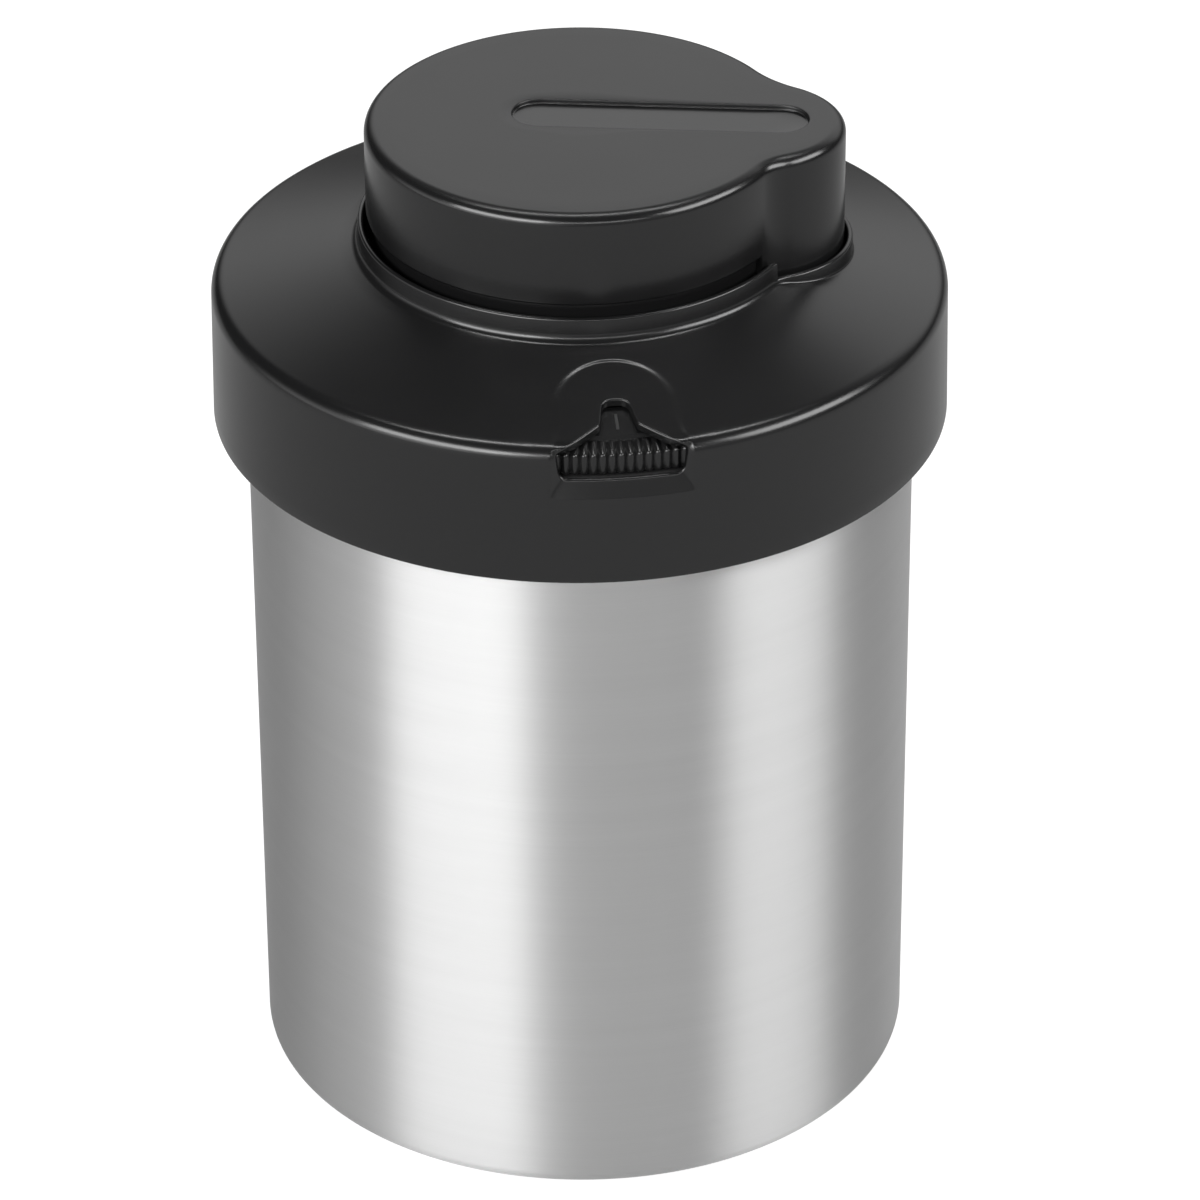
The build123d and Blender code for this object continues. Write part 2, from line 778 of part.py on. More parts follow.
def make_piston_seal():
    """Rubber ring in the piston's groove, rounded where it runs on the bore."""
    groove_bottom = piston_bottom + (piston_thickness - piston_groove_height) / 2
    outer = bore_radius - piston_seal_gap
    inner = piston_radius - piston_groove_depth
    rounding = (outer - inner) / 2
    return turned(
        (inner, groove_bottom),
        (outer, groove_bottom, rounding),
        (outer, groove_bottom + piston_groove_height, rounding),
        (inner, groove_bottom + piston_groove_height),
    )


def make_rod():
    """Piston rod: spigot through the flap, a flange above it and a blind screw hole."""
    rod = turned(
        (0, piston_top),
        (rod_radius, piston_top),
        (rod_radius, rod_flange_bottom),
        (rod_flange_radius, rod_flange_bottom),
        (rod_flange_radius, rod_flange_top),
        (rod_radius, rod_flange_top),
        (rod_radius, rod_top),
        (0, rod_top),
    )
    return rod - column(small_screw_radius, piston_top - overrun, piston_top + rod_screw_depth)


def make_exhaust_valve():
    """Silicone flap on the piston's top face, over its exhaust holes."""
    return tube(exhaust_flap_radius, rod_radius, piston_top, rod_flange_bottom)


def make_piston_screw():
    """Screw from below that holds the piston on the rod."""
    seat = piston_bottom + small_screw_head_height
    length = piston_top - seat + rod_screw_depth
    return screw(small_screw_radius, small_screw_head_radius, small_screw_head_height,
                 length, (0, 0), seat, True)


def make_spring():
    """Return spring: one round wire along a helix of arcs, with closer turns at both ends."""
    bottom = cover_top + spring_wire_radius
    top = cap_ceiling - spring_wire_radius
    open_turns = spring_turns - 2 * spring_end_turns
    open_rise = top - bottom - 2 * spring_end_turns * spring_end_pitch

    def height(turn):
        below = min(turn, spring_end_turns)
        above = max(turn - spring_turns + spring_end_turns, 0)
        middle = turn - below - above
        return bottom + (below + above) * spring_end_pitch + middle * open_rise / open_turns

    def place(turn):
        angle = 2 * pi * turn
        return Vector(spring_radius * cos(angle), spring_radius * sin(angle), height(turn))

    def direction(turn, side):
        step = side / spring_arcs_per_turn / 100
        angle = 2 * pi * turn
        rise = (height(turn + step) - height(turn)) / step / (2 * pi)
        return Vector(-spring_radius * sin(angle), spring_radius * cos(angle), rise).normalized()

    arcs = []
    steps = round(spring_turns * spring_arcs_per_turn)
    for i in range(steps):
        start = i / spring_arcs_per_turn
        end = (i + 1) / spring_arcs_per_turn
        arcs += biarc(place(start), direction(start, -1 if i else 1), place(end), direction(end, -1))
    path = Wire(arcs)
    wire = Plane(origin=arcs[0] @ 0, z_dir=arcs[0] % 0) * Circle(spring_wire_radius)
    return sweep(wire, path)


def biarc(start, start_way, end, end_way):
    """Two arcs that leave a start and reach an end along given directions."""
    chord = end - start
    ways = start_way + end_way
    spread = 2 * (1 - start_way.dot(end_way))
    along = chord.dot(ways)
    reach = (sqrt(along ** 2 + spread * chord.dot(chord)) - along) / spread
    joint = (start + end + (start_way - end_way) * reach) / 2
    way = (end - end_way * reach - start - start_way * reach).normalized()
    return [TangentArc(start, joint, tangent=start_way), TangentArc(joint, end, tangent=way)]


makers = {
    "canister_shell": make_canister,
    "lid_cover": make_cover,
    "lid_base": make_lid_base,
    "lid_gasket": make_gasket,
    "lid_screws": make_lid_screws,
    "date_ring": make_ring,
    "pump_cap": make_cap,
    "pump_cylinder": make_cylinder,
    "cylinder_cover": make_cylinder_cover,
    "cylinder_seal": make_cylinder_seal,
    "cylinder_screws": make_cylinder_screws,
    "intake_valve": make_intake_valve,
    "filter_screen": make_filter_screen,
    "filter_ring": make_filter_ring,
    "piston": make_piston,
    "piston_seal": make_piston_seal,
    "piston_rod": make_rod,
    "exhaust_valve": make_exhaust_valve,
    "piston_screw": make_piston_screw,
    "return_spring": make_spring,
}

os.makedirs("parts", exist_ok=True)
for name, make in makers.items():
    export_step(make(), f"parts/{name}.step")
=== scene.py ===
from math import atan2, cos, hypot, pi, radians, sin, sqrt, tan

import bmesh
import bpy
import numpy as np
from bpy.props import FloatProperty, FloatVectorProperty, IntProperty, PointerProperty
from mathutils import Matrix, Vector


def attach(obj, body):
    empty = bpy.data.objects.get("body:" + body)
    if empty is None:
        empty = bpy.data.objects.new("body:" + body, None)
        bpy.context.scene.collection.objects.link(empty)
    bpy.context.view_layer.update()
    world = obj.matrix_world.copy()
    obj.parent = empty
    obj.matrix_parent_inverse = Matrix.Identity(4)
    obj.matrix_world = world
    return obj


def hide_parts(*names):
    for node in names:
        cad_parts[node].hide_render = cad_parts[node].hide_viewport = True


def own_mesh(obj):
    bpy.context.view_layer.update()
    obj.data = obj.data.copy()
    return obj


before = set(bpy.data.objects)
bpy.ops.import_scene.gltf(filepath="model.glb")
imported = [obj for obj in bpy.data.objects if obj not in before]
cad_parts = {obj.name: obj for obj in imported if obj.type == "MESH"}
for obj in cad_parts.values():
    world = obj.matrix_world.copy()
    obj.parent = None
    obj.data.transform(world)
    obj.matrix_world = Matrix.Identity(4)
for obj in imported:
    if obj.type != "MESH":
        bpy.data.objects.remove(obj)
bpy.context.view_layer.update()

bl_info = {
    "name": "Coffee canister with a pump lid",
    "version": (1, 0, 0),
    "blender": (4, 5, 0),
    "location": "View3D > Sidebar > Canister",
    "description": "Makes a steel canister with a pump lid and a date dial around a packed frame",
    "category": "Object",
}

MM = 0.001
STEP_GAP = radians(0.3)
SHARP_ANGLE = radians(38)


def length(name, description, millimetres):
    """A length property whose default is given in millimetres."""
    return FloatProperty(
        name=name, description=description, default=millimetres * MM, unit="LENGTH", precision=5)


def angled(name, description, degrees):
    """An angle property whose default is given in degrees."""
    return FloatProperty(name=name, description=description, default=radians(degrees), subtype="ANGLE")


def count(name, description, default):
    """A whole number of one or more."""
    return IntProperty(name=name, description=description, default=default, min=1)


def power(name, description, watts):
    """A lamp's power."""
    return FloatProperty(name=name, description=description, default=watts, min=0.0, unit="POWER")


def color(name, description, red, green, blue):
    """A colour property with its linear default."""
    return FloatVectorProperty(
        name=name, description=description, default=(red, green, blue), subtype="COLOR", min=0.0, max=1.0)


def share(name, description, default):
    """A plain factor from nothing to one."""
    return FloatProperty(
        name=name, description=description, default=default, subtype="FACTOR", min=0.0, max=1.0)


class CanSettings(bpy.types.PropertyGroup):
    """Sizes and finish of the steel can."""

    radius: length("Radius", "Outer radius of the straight wall", 55.0)
    height: length("Height", "Height of the rolled rim", 134.5)
    wall: length("Wall", "Thickness of the sheet", 0.7)
    corner: length("Corner", "Rounding of the bottom edge", 2.5)
    foot: length("Foot", "Width of the ring that it stands on", 5.0)
    recess: length("Recess", "How far the base stands clear of the table", 1.4)
    rim: length("Rim", "Radius of the rolled rim", 1.5)
    steel: color("Steel", "Colour of the brushed steel", 0.65, 0.65, 0.65)
    roughness: share("Roughness", "Roughness of the brushed steel", 0.42)
    brushing: share("Brushing", "How far the brushing spreads the light across its lines", 0.95)


class LidSettings(bpy.types.PropertyGroup):
    """Sizes and finish of the moulded lid cover."""

    radius: length("Radius", "Outer radius at the shoulder", 60.15)
    edge_flare: length("Edge flare", "How much wider the lower edge is", 0.35)
    edge: length("Edge", "Height of the lower edge", 120.8)
    edge_rounding: length("Edge rounding", "Rounding of the lower edge", 0.4)
    shoulder: length("Shoulder", "Height where band and cone would meet", 144.34)
    shoulder_rounding: length("Shoulder rounding", "Radius between band and cone", 2.6)
    wall: length("Wall", "Thickness of the moulded wall", 1.6)
    slope: angled("Slope", "Slope of the cone", 15.3)
    collar_wall: length("Collar wall", "Thickness of the teardrop collar", 0.95)
    collar: length("Collar", "Height of the collar's rim", 154.8)
    collar_foot: length("Collar foot", "Height of the collar's lower end, on the base plate", 136.7)
    lip: length("Lobe lip", "Height of the lower rim round the lobe", 151.8)
    rim_rounding: length("Rim rounding", "Rounding of the collar's rim", 0.45)
    root: length("Root", "Radius where the collar grows out of the cone", 1.6)
    lobe_root: length("Lobe root", "The same radius round the lobe", 0.5)
    window: length("Window", "Half the width of the date window at its bottom", 10.0)
    window_top: length("Window top", "Half its width at the shoulder", 10.5)
    window_foot: length("Window foot", "Height of its lower edge", 139.0)
    notch: length("Notch", "Half the width of the notch at its base", 3.0)
    notch_end: length("Notch end", "Half its width where the rounded tip begins", 2.0)
    tip_rounding: length("Tip rounding", "Rounding of the notch's tip", 1.85)
    notch_base: length("Notch base", "Radius where the notch begins", 54.2)
    notch_tip: length("Notch tip", "Radius of the notch's tip", 48.9)
    window_rounding: length("Window rounding", "Rounding of the window's edge", 0.3)
    scoop: length("Scoop", "Depth of the thumb relief at the window", 1.1)
    scoop_foot: length("Scoop foot", "Height where the relief runs out", 135.8)
    scoop_width: length("Scoop width", "Half the width of the relief at its foot", 12.0)
    arch: length("Arch", "Depth of the arched panel", 0.15)
    arch_top: length("Arch top", "Radius of the panel's top", 40.2)
    arch_width: length("Arch width", "Half the width of the panel", 9.6)
    plastic: color("Plastic", "Colour of the moulded lid", 0.007, 0.007, 0.0072)


class CapSettings(bpy.types.PropertyGroup):
    """Sizes and finish of the teardrop pump cap."""

    radius: length("Radius", "Radius of the round part", 34.65)
    lobe_reach: length("Lobe reach", "Distance from the axis to the lobe's centre, along its line", 28.2)
    lobe_side: length("Lobe side", "How far the lobe's centre lies behind its line", 1.1)
    lobe: length("Lobe", "Radius of the lobe", 14.9)
    front_blend: length("Front blend", "Radius of the tight hollow in front", 7.97)
    back_blend: length("Back blend", "Radius of the gentle hollow behind", 20.1)
    azimuth: angled("Azimuth", "Where the lobe points", -10.7)
    gap: length("Gap", "Gap between the cap and the collar", 0.45)
    height: length("Height", "Height of the flat top", 172.2)
    wall: length("Wall", "Thickness of the cap", 2.2)
    edge: length("Edge", "Radius of the top edge", 2.0)
    skirt: length("Skirt", "Height of the round part's lower edge", 156.3)
    lobe_skirt: length("Lobe skirt", "Height of the lobe's lower edge", 148.2)
    skirt_rounding: length("Skirt rounding", "Rounding of the lower edges", 0.6)
    step: length("Step", "Distance from the axis to the line where the collar drops to the lip", 33.0)
    skirt_step: length("Skirt step", "Distance from the axis to the line where the skirt gets deeper", 30.6)
    recess_length: length("Recess length", "Length of the bare recess in the top", 48.0)
    recess_width: length("Recess width", "Width of the recess", 9.6)
    recess_depth: length("Recess depth", "Depth of the recess", 0.8)
    recess_rounding: length("Recess rounding", "Rounding of the recess's foot and rim", 0.25)
    recess_reach: length("Recess reach", "How far its middle lies towards the lobe", 13.1)
    recess_offset: length("Recess offset", "How far its middle lies beside the lobe's line", 1.6)
    guide: length("Guide", "Outer radius of the guide ring inside", 33.6)
    guide_wall: length("Guide wall", "Thickness of the guide ring", 1.5)
    guide_foot: length("Guide foot", "Height of the guide ring's lower edge", 150.0)
    socket: length("Socket", "Outer radius of the rod's socket", 7.5)
    socket_bore: length("Socket bore", "Radius of the rod in the socket", 5.0)
    socket_foot: length("Socket foot", "Height of the socket's lower edge", 161.0)
    plastic: color("Plastic", "Colour of the cap", 0.007, 0.007, 0.0072)


class DialSettings(bpy.types.PropertyGroup):
    """Sizes and finish of the date dial."""

    radius: length("Radius", "Outer radius over the ridges", 58.2)
    bore: length("Bore", "Inner radius", 48.0)
    foot: length("Foot", "Height of the lower face", 139.0)
    gap: length("Gap", "Gap to the cone above it", 0.35)
    rounding: length("Rounding", "Rounding of the ring's outer edges", 0.55)
    ridge: length("Ridge", "Height of the ridges", 0.45)
    ridge_reach: length("Ridge reach", "Length of the ridges on the upper face", 3.2)
    days: count("Days", "Numbers on the dial", 31)
    ridges_per_day: count("Ridges per day", "Ridges between two numbers", 8)
    number_radius: length("Number radius", "Radius of the numbers' middle", 51.7)
    number_height: length("Number height", "Height of the digits", 3.4)
    number_relief: length("Number relief", "How far the digits stand proud", 0.12)
    plastic: color("Plastic", "Colour of the dial", 0.007, 0.007, 0.0072)
    number_plastic: color("Number plastic", "Colour of the numbers", 0.02, 0.02, 0.02)


class StageSettings(bpy.types.PropertyGroup):
    """Camera, lamps and floor."""

    lens: FloatProperty(name="Lens", description="Focal length on a 36 mm sensor", default=191.4, min=1.0)
    distance: length("Distance", "Level distance from the can's axis to the camera", 920.6)
    height: length("Height", "Height of the camera", 635.7)
    turn: angled("Turn", "Azimuth of the camera", -6.3)
    pitch: angled("Pitch", "How far it looks down", 31.05)
    yaw: angled("Yaw", "How far it looks aside", 0.19)
    roll: angled("Roll", "How far it leans", -0.31)
    floor: color("Floor", "Colour of the floor", 0.3, 0.3, 0.3)
    key: power("Key", "Power of the left lamp", 12.0)
    fill: power("Fill", "Power of the right lamp", 10.5)
    front: power("Front", "Power of the low strip in front", 4.2)
    top: power("Top", "Power of the overhead strip", 6.0)


# Outlines and profiles

def rounded(corners, pieces=6, closed=False):
    """Straight runs through (x, y, rounding) corners, each rounding an arc that touches both runs."""
    points = []
    total = len(corners)
    for i, corner in enumerate(corners):
        here = np.array(corner[:2], float)
        radius = corner[2] if len(corner) > 2 else 0
        if not radius or (not closed and i in (0, total - 1)):
            points.append(here[None])
            continue
        back = np.array(corners[i - 1][:2], float) - here
        ahead = np.array(corners[(i + 1) % total][:2], float) - here
        back /= np.linalg.norm(back)
        ahead /= np.linalg.norm(ahead)
        half = np.arccos(np.clip(back @ ahead, -1, 1)) / 2
        middle = (back + ahead) / np.linalg.norm(back + ahead)
        centre = here + middle * radius / sin(half)
        start = here + back * radius / tan(half) - centre
        end = here + ahead * radius / tan(half) - centre
        sweep = pi - 2 * half
        t = np.linspace(0, 1, pieces + 1)[:, None] * sweep
        points.append(centre + (start * np.sin(sweep - t) + end * np.sin(t)) / sin(sweep))
    return np.vstack(points)


def along(points):
    """Distance along a line of points, from its first one."""
    return np.append(0, np.cumsum(np.linalg.norm(np.diff(points, axis=0), axis=1)))


def resampled(points, distances):
    """Points of a line at given distances along it."""
    path = along(points)
    return np.column_stack([np.interp(distances, path, points[:, axis]) for axis in range(points.shape[1])])


def teardrop(cap, angle, offset):
    """Distance from the axis to the cap's outline at an angle, the outline moved outwards by an offset.

    A large circle about the axis, a smaller one beside it, and a hollow arc on each side that touches both.
    """
    turn = (angle - cap.azimuth + pi) % (2 * pi) - pi
    ray = np.array([np.cos(turn), np.sin(turn)])
    main = cap.radius + offset
    lobe = cap.lobe + offset
    centre = np.array([cap.lobe_reach, cap.lobe_side])
    span = np.linalg.norm(centre)
    beside = np.array([-centre[1], centre[0]])
    reach = main + 0 * turn
    ends = []
    for side, blend in ((-1, cap.front_blend), (1, cap.back_blend)):
        far = cap.radius + blend
        near = cap.lobe + blend
        ahead = (far ** 2 - near ** 2 + span ** 2) / (2 * span)
        middle = (centre * ahead + beside * side * sqrt(far ** 2 - ahead ** 2)) / span
        lobe_end = centre[:, None] + (middle - centre)[:, None] * lobe / near
        ends.append(np.arctan2(lobe_end[1], lobe_end[0]))
        depth = np.tensordot(middle, ray, 1)
        hollow = depth - np.sqrt(np.maximum(depth ** 2 - far ** 2 + (blend - offset) ** 2, 0))
        inside = (side * turn < side * atan2(middle[1], middle[0])) & (side * turn >= side * ends[-1])
        reach = np.where(inside, hollow, reach)
    depth = np.tensordot(centre, ray, 1)
    nose = depth + np.sqrt(np.maximum(depth ** 2 - span ** 2 + lobe ** 2, 0))
    return np.where((turn > ends[0]) & (turn < ends[1]), nose, reach)


def stadium(cap, angle, offset):
    """Distance from the axis to the recess's outline at an angle, moved outwards by an offset.

    Two half circles joined by straight sides: where the ray leaves a side between the circles' centres, that
    side counts, and elsewhere the further crossing of the nearer circle.
    """
    turn = angle - cap.azimuth
    radius = cap.recess_width / 2 + offset
    half = (cap.recess_length - cap.recess_width) / 2
    ray = np.array([np.cos(turn), np.sin(turn)])
    side = np.where(ray[1] >= 0, cap.recess_offset + radius, cap.recess_offset - radius)
    straight = side / np.where(np.abs(ray[1]) < 1e-9, 1e-9, ray[1])
    x = straight * ray[0]
    reach = np.where(np.abs(x - cap.recess_reach) <= half, straight, 0)
    for end in (-half, half):
        centre = np.array([cap.recess_reach + end, cap.recess_offset])
        near = centre @ ray
        depth = near ** 2 - centre @ centre + radius ** 2
        hit = near + np.sqrt(np.maximum(depth, 0))
        beyond = (hit * ray[0] - centre[0]) * np.sign(end) >= 0
        reach = np.where((depth >= 0) & (hit > 0) & beyond & (reach == 0), hit, reach)
    return reach


def snapped(angles, place, gap):
    """The angles with the two nearest to a place moved to half a gap on each side of it."""
    angles = angles.copy()
    after = int(np.searchsorted(angles, place))
    angles[after - 1] = place - gap / 2
    angles[after] = place + gap / 2
    return angles


# Meshes

def polar(angle, reach, height):
    """Points at an angle round the can's axis, a reach from it and a height."""
    angle, reach, height = np.broadcast_arrays(angle, reach, height)
    return np.stack([reach * np.cos(angle), reach * np.sin(angle), height], -1)


def strips(rows):
    """Quads between neighbouring rows of vertex numbers, each row a closed ring."""
    rows = np.asarray(rows)
    ahead = np.roll(rows, -1, axis=1)
    return np.stack([rows[:-1], ahead[:-1], ahead[1:], rows[1:]], -1).reshape(-1, 4)


def mesh_piece(name, points, faces, body, material, replaced=()):
    """A piece from its points and faces, welded where points meet, riding on a body."""
    mesh = bpy.data.meshes.new(name)
    mesh.from_pydata(points.tolist(), [], faces)
    work = bmesh.new()
    work.from_mesh(mesh)
    bmesh.ops.remove_doubles(work, verts=work.verts, dist=1e-7)
    bmesh.ops.dissolve_degenerate(work, edges=work.edges, dist=1e-7)
    bmesh.ops.recalc_face_normals(work, faces=work.faces)
    work.to_mesh(mesh)
    work.free()
    mesh.polygons.foreach_set("use_smooth", np.ones(len(mesh.polygons), bool))
    mesh.set_sharp_from_angle(angle=SHARP_ANGLE)
    mesh.materials.append(material)
    piece = bpy.data.objects.new(name, mesh)
    bpy.context.scene.collection.objects.link(piece)
    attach(piece, body)
    if replaced:
        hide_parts(*replaced)
    return piece


def turned_mesh(profile, columns):
    """Points and numbered rows of a profile carried once round the axis; ends on the axis become poles."""
    angle = np.linspace(0, 2 * pi, columns, endpoint=False)
    points = polar(angle[None], profile[:, :1], profile[:, 1:])
    rows = np.arange(points.shape[0] * columns).reshape(-1, columns)
    return points.reshape(-1, 3), rows


# Paint

class Socket:
    """A shader socket that can stand in sums: each operator adds the Math node for it."""

    def __init__(self, paint, out):
        self.paint = paint
        self.out = out

    def math(self, operation, *values):
        """A Math node on values or sockets."""
        return self.paint.node("Math", {"operation": operation}, dict(enumerate(values)))

    def __add__(self, other):
        return self.math("ADD", self, other)

    def __radd__(self, other):
        return self.math("ADD", other, self)

    def __sub__(self, other):
        return self.math("SUBTRACT", self, other)

    def __rsub__(self, other):
        return self.math("SUBTRACT", other, self)

    def __mul__(self, other):
        return self.math("MULTIPLY", self, other)

    def __rmul__(self, other):
        return self.math("MULTIPLY", other, self)

    def above(self, edge, soft):
        """0 below an edge and 1 above it, with a soft step between."""
        return self.paint.node(
            "MapRange", {"interpolation_type": "SMOOTHSTEP"},
            {"Value": self, "From Min": edge - soft / 2, "From Max": edge + soft / 2})


class Paint:
    """The nodes of one material or world."""

    def __init__(self, name, owner=None):
        self.owner = owner or bpy.data.materials.new(name)
        self.owner.use_nodes = True
        self.tree = self.owner.node_tree
        self.tree.nodes.clear()

    def node(self, kind, settings=None, inputs=None, output=0):
        """Adds a node: its settings first, then the values or links of its sockets."""
        made = self.tree.nodes.new("ShaderNode" + kind)
        for key, value in (settings or {}).items():
            setattr(made, key, value)
        for key, value in (inputs or {}).items():
            if isinstance(value, Socket):
                self.tree.links.new(value.out, made.inputs[key])
            else:
                made.inputs[key].default_value = value
        return Socket(self, made.outputs[output]) if made.outputs else None

    def place(self):
        """Object coordinates."""
        return self.node("TexCoord", output="Object")

    def stretched(self, vector, scale):
        """A vector with each axis multiplied by its own factor."""
        return self.node("VectorMath", {"operation": "MULTIPLY"}, {0: vector, 1: scale})

    def split(self, vector):
        """The three numbers of a vector."""
        made = self.node("SeparateXYZ", inputs={0: vector}).out.node
        return [Socket(self, out) for out in made.outputs]

    def noise(self, vector, scale, detail=2.0, roughness=0.5):
        """Noise from 0 to 1 about a half."""
        return self.node("TexNoise", inputs={
            "Vector": vector, "Scale": scale, "Detail": detail, "Roughness": roughness})

    def mix(self, factor, first, second):
        """A colour between two."""
        return self.node("Mix", {"data_type": "RGBA"}, {0: factor, 6: first, 7: second}, output=2)

    def bump(self, height, distance, strength):
        """A normal that follows a height from 0 to 1 over a distance."""
        return self.node("Bump", inputs={"Height": height, "Distance": distance, "Strength": strength})

    def rays(self, *kinds):
        """1 where the ray that looks is of each kind, such as camera or glossy."""
        outputs = self.node("LightPath").out.node.outputs
        return [Socket(self, outputs[f"Is {kind} Ray"]) for kind in kinds]

    def surface(self, **inputs):
        """The principled shader as the material's surface."""
        names = {key.replace("_", " "): value for key, value in inputs.items()}
        shader = self.node("BsdfPrincipled", inputs=names)
        self.node("OutputMaterial", inputs={"Surface": shader})
        return self.owner


def rgb(value, factor=1.0):
    """A colour property, or one grey, with its alpha, times a factor."""
    grey = (value,) * 3 if isinstance(value, float) else tuple(value)
    return tuple(part * factor for part in grey) + (1.0,)


# Finishes

def brushed_steel(can):
    """Stainless sheet brushed round the can: fine level lines vary its tone, gloss and relief."""
    paint = Paint("brushed_steel")
    place = paint.place()
    lines = paint.noise(paint.stretched(place, (40, 40, 5200)), 1.0, 3.0, 0.6)
    broad = paint.noise(paint.stretched(place, (9, 9, 420)), 1.0, 2.0)
    tone = paint.mix(lines * 0.6 + broad * 0.4, rgb(can.steel, 0.93), rgb(can.steel, 1.06))
    return paint.surface(
        Base_Color=tone, Metallic=1.0, Roughness=can.roughness + (lines - 0.5) * 0.12,
        Anisotropic=can.brushing, Anisotropic_Rotation=0.25,
        Normal=paint.bump(lines, 0.012 * MM, 0.5))


def moulded_plastic(name, tone, roughness, grain, depth):
    """Moulded plastic: a fine spark-eroded grain and slow changes of gloss from the tool."""
    paint = Paint(name)
    place = paint.place()
    pits = paint.noise(place, 1 / grain, 3.0, 0.6)
    cloud = paint.noise(place, 45.0, 2.0)
    shade = paint.mix(pits * 0.5 + cloud * 0.5, rgb(tone, 0.85), rgb(tone, 1.15))
    return paint.surface(
        Base_Color=shade, Roughness=roughness + (cloud - 0.5) * 0.06 + (pits - 0.5) * 0.05,
        Normal=paint.bump(pits, depth, 0.6))


def cap_plastic(cap):
    """The cap's plastic: a grained flat top and smoother, glossier flanks."""
    paint = Paint("cap_plastic")
    place = paint.place()
    top = paint.split(place)[2].above(cap.height - 0.5 * MM, 0.6 * MM)
    pits = paint.noise(place, 3300.0, 3.0, 0.6)
    cloud = paint.noise(place, 38.0, 2.0)
    shade = paint.mix(pits * 0.5 + cloud * 0.5, rgb(cap.plastic, 0.85), rgb(cap.plastic, 1.15))
    return paint.surface(
        Base_Color=shade, Roughness=0.21 + top * 0.1 + (cloud - 0.5) * 0.05,
        Normal=paint.bump(pits * (top * 0.8 + 0.2), 0.012 * MM, 0.6))


def soft_silicone(name, tone):
    """Silicone rubber: milky, slightly uneven, with a faint bloom on its surface."""
    paint = Paint(name)
    place = paint.place()
    cloud = paint.noise(place, 160.0, 3.0)
    return paint.surface(
        Base_Color=paint.mix(cloud, rgb(tone, 0.92), rgb(tone, 1.06)), Roughness=0.42 + (cloud - 0.5) * 0.15,
        Normal=paint.bump(paint.noise(place, 1500.0), 0.01 * MM, 0.5))


def turned_metal(name, tone, roughness):
    """Plated or drawn steel: fine rings about the can's axis and a little uneven gloss."""
    paint = Paint(name)
    place = paint.place()
    lines = paint.noise(paint.stretched(place, (900, 900, 3000)), 1.0, 2.0)
    return paint.surface(
        Base_Color=paint.mix(lines, rgb(tone, 0.85), rgb(tone, 1.05)), Metallic=1.0,
        Roughness=roughness + (lines - 0.5) * 0.1, Normal=paint.bump(lines, 0.006 * MM, 0.4))


# Operators, one for each group of pieces

class CANISTER_OT_can(bpy.types.Operator):
    """Steel can: recessed base on a foot ring, straight wall and a rim rolled outwards"""

    bl_idname = "canister.can"
    bl_label = "Steel can"

    def execute(self, context):
        can = context.scene.canister_can
        columns = 288
        bend_steps = 12
        foot_bend = 0.8 * MM
        recess_bend = 1.2 * MM
        recess_margin = 2 * MM
        rim_steps = 28
        wall_rows = 12
        bore = can.radius - can.wall
        foot_inner = can.radius - can.corner - can.foot
        recess_radius = foot_inner - recess_margin
        neck = can.height - can.rim
        outside = rounded([
            (0, can.recess), (recess_radius, can.recess, recess_bend), (foot_inner, 0, foot_bend),
            (can.radius, 0, can.corner), (can.radius, neck)], bend_steps)
        inside = rounded([
            (bore, neck), (bore, can.wall, can.corner - can.wall), (foot_inner, can.wall, foot_bend),
            (recess_radius, can.recess + can.wall, recess_bend), (0, can.recess + can.wall)], bend_steps)
        centre = np.array([bore + can.rim, neck])
        turn = np.linspace(pi, -pi / 2, rim_steps)[:, None]
        curl = np.hstack([np.cos(turn), np.sin(turn)])
        under = centre + curl * (can.rim - can.wall)
        over = centre + curl[::-1] * can.rim
        wall = resampled(outside[-2:], np.linspace(0, along(outside[-2:])[-1], wall_rows))
        profile = np.vstack([outside[:-2], wall, under[1:], over[:-1], inside])
        points, rows = turned_mesh(profile, columns)
        mesh_piece("steel_can", points, strips(rows).tolist(), "canister",
                   brushed_steel(can), ["canister_shell"])
        return {"FINISHED"}


def lid_section(lid):
    """The lid's outer half section from the top of the lower edge in towards the axis, as dense points."""
    edge = lid.radius + lid.edge_flare
    inner = 30 * MM
    spacing = 0.05 * MM
    bend_steps = 64
    line = rounded([
        (edge, lid.edge + lid.edge_rounding), (lid.radius, lid.shoulder, lid.shoulder_rounding),
        (inner, cone(lid, inner))], bend_steps)
    return resampled(line, np.arange(0, along(line)[-1], spacing))


def cone(lid, reach):
    """Height of the cone at a reach from the axis."""
    return lid.shoulder + (lid.radius - reach) * tan(lid.slope)


def lobe_turns(cap, offset, step):
    """Angles from the lobe's line, front and back, to where the outline is a step from the axis along it."""
    samples = 2000
    turn = np.linspace(0, pi / 3, samples)
    ahead = [teardrop(cap, side * turn + cap.azimuth, offset) * np.cos(turn) for side in (-1, 1)]
    return [side * float(np.interp(-step, -line, turn)) for side, line in zip((-1, 1), ahead)]


def soft_step(value):
    """0 below nothing, 1 above one, and a smooth rise between."""
    t = np.clip(value, 0, 1)
    return t * t * (3 - 2 * t)


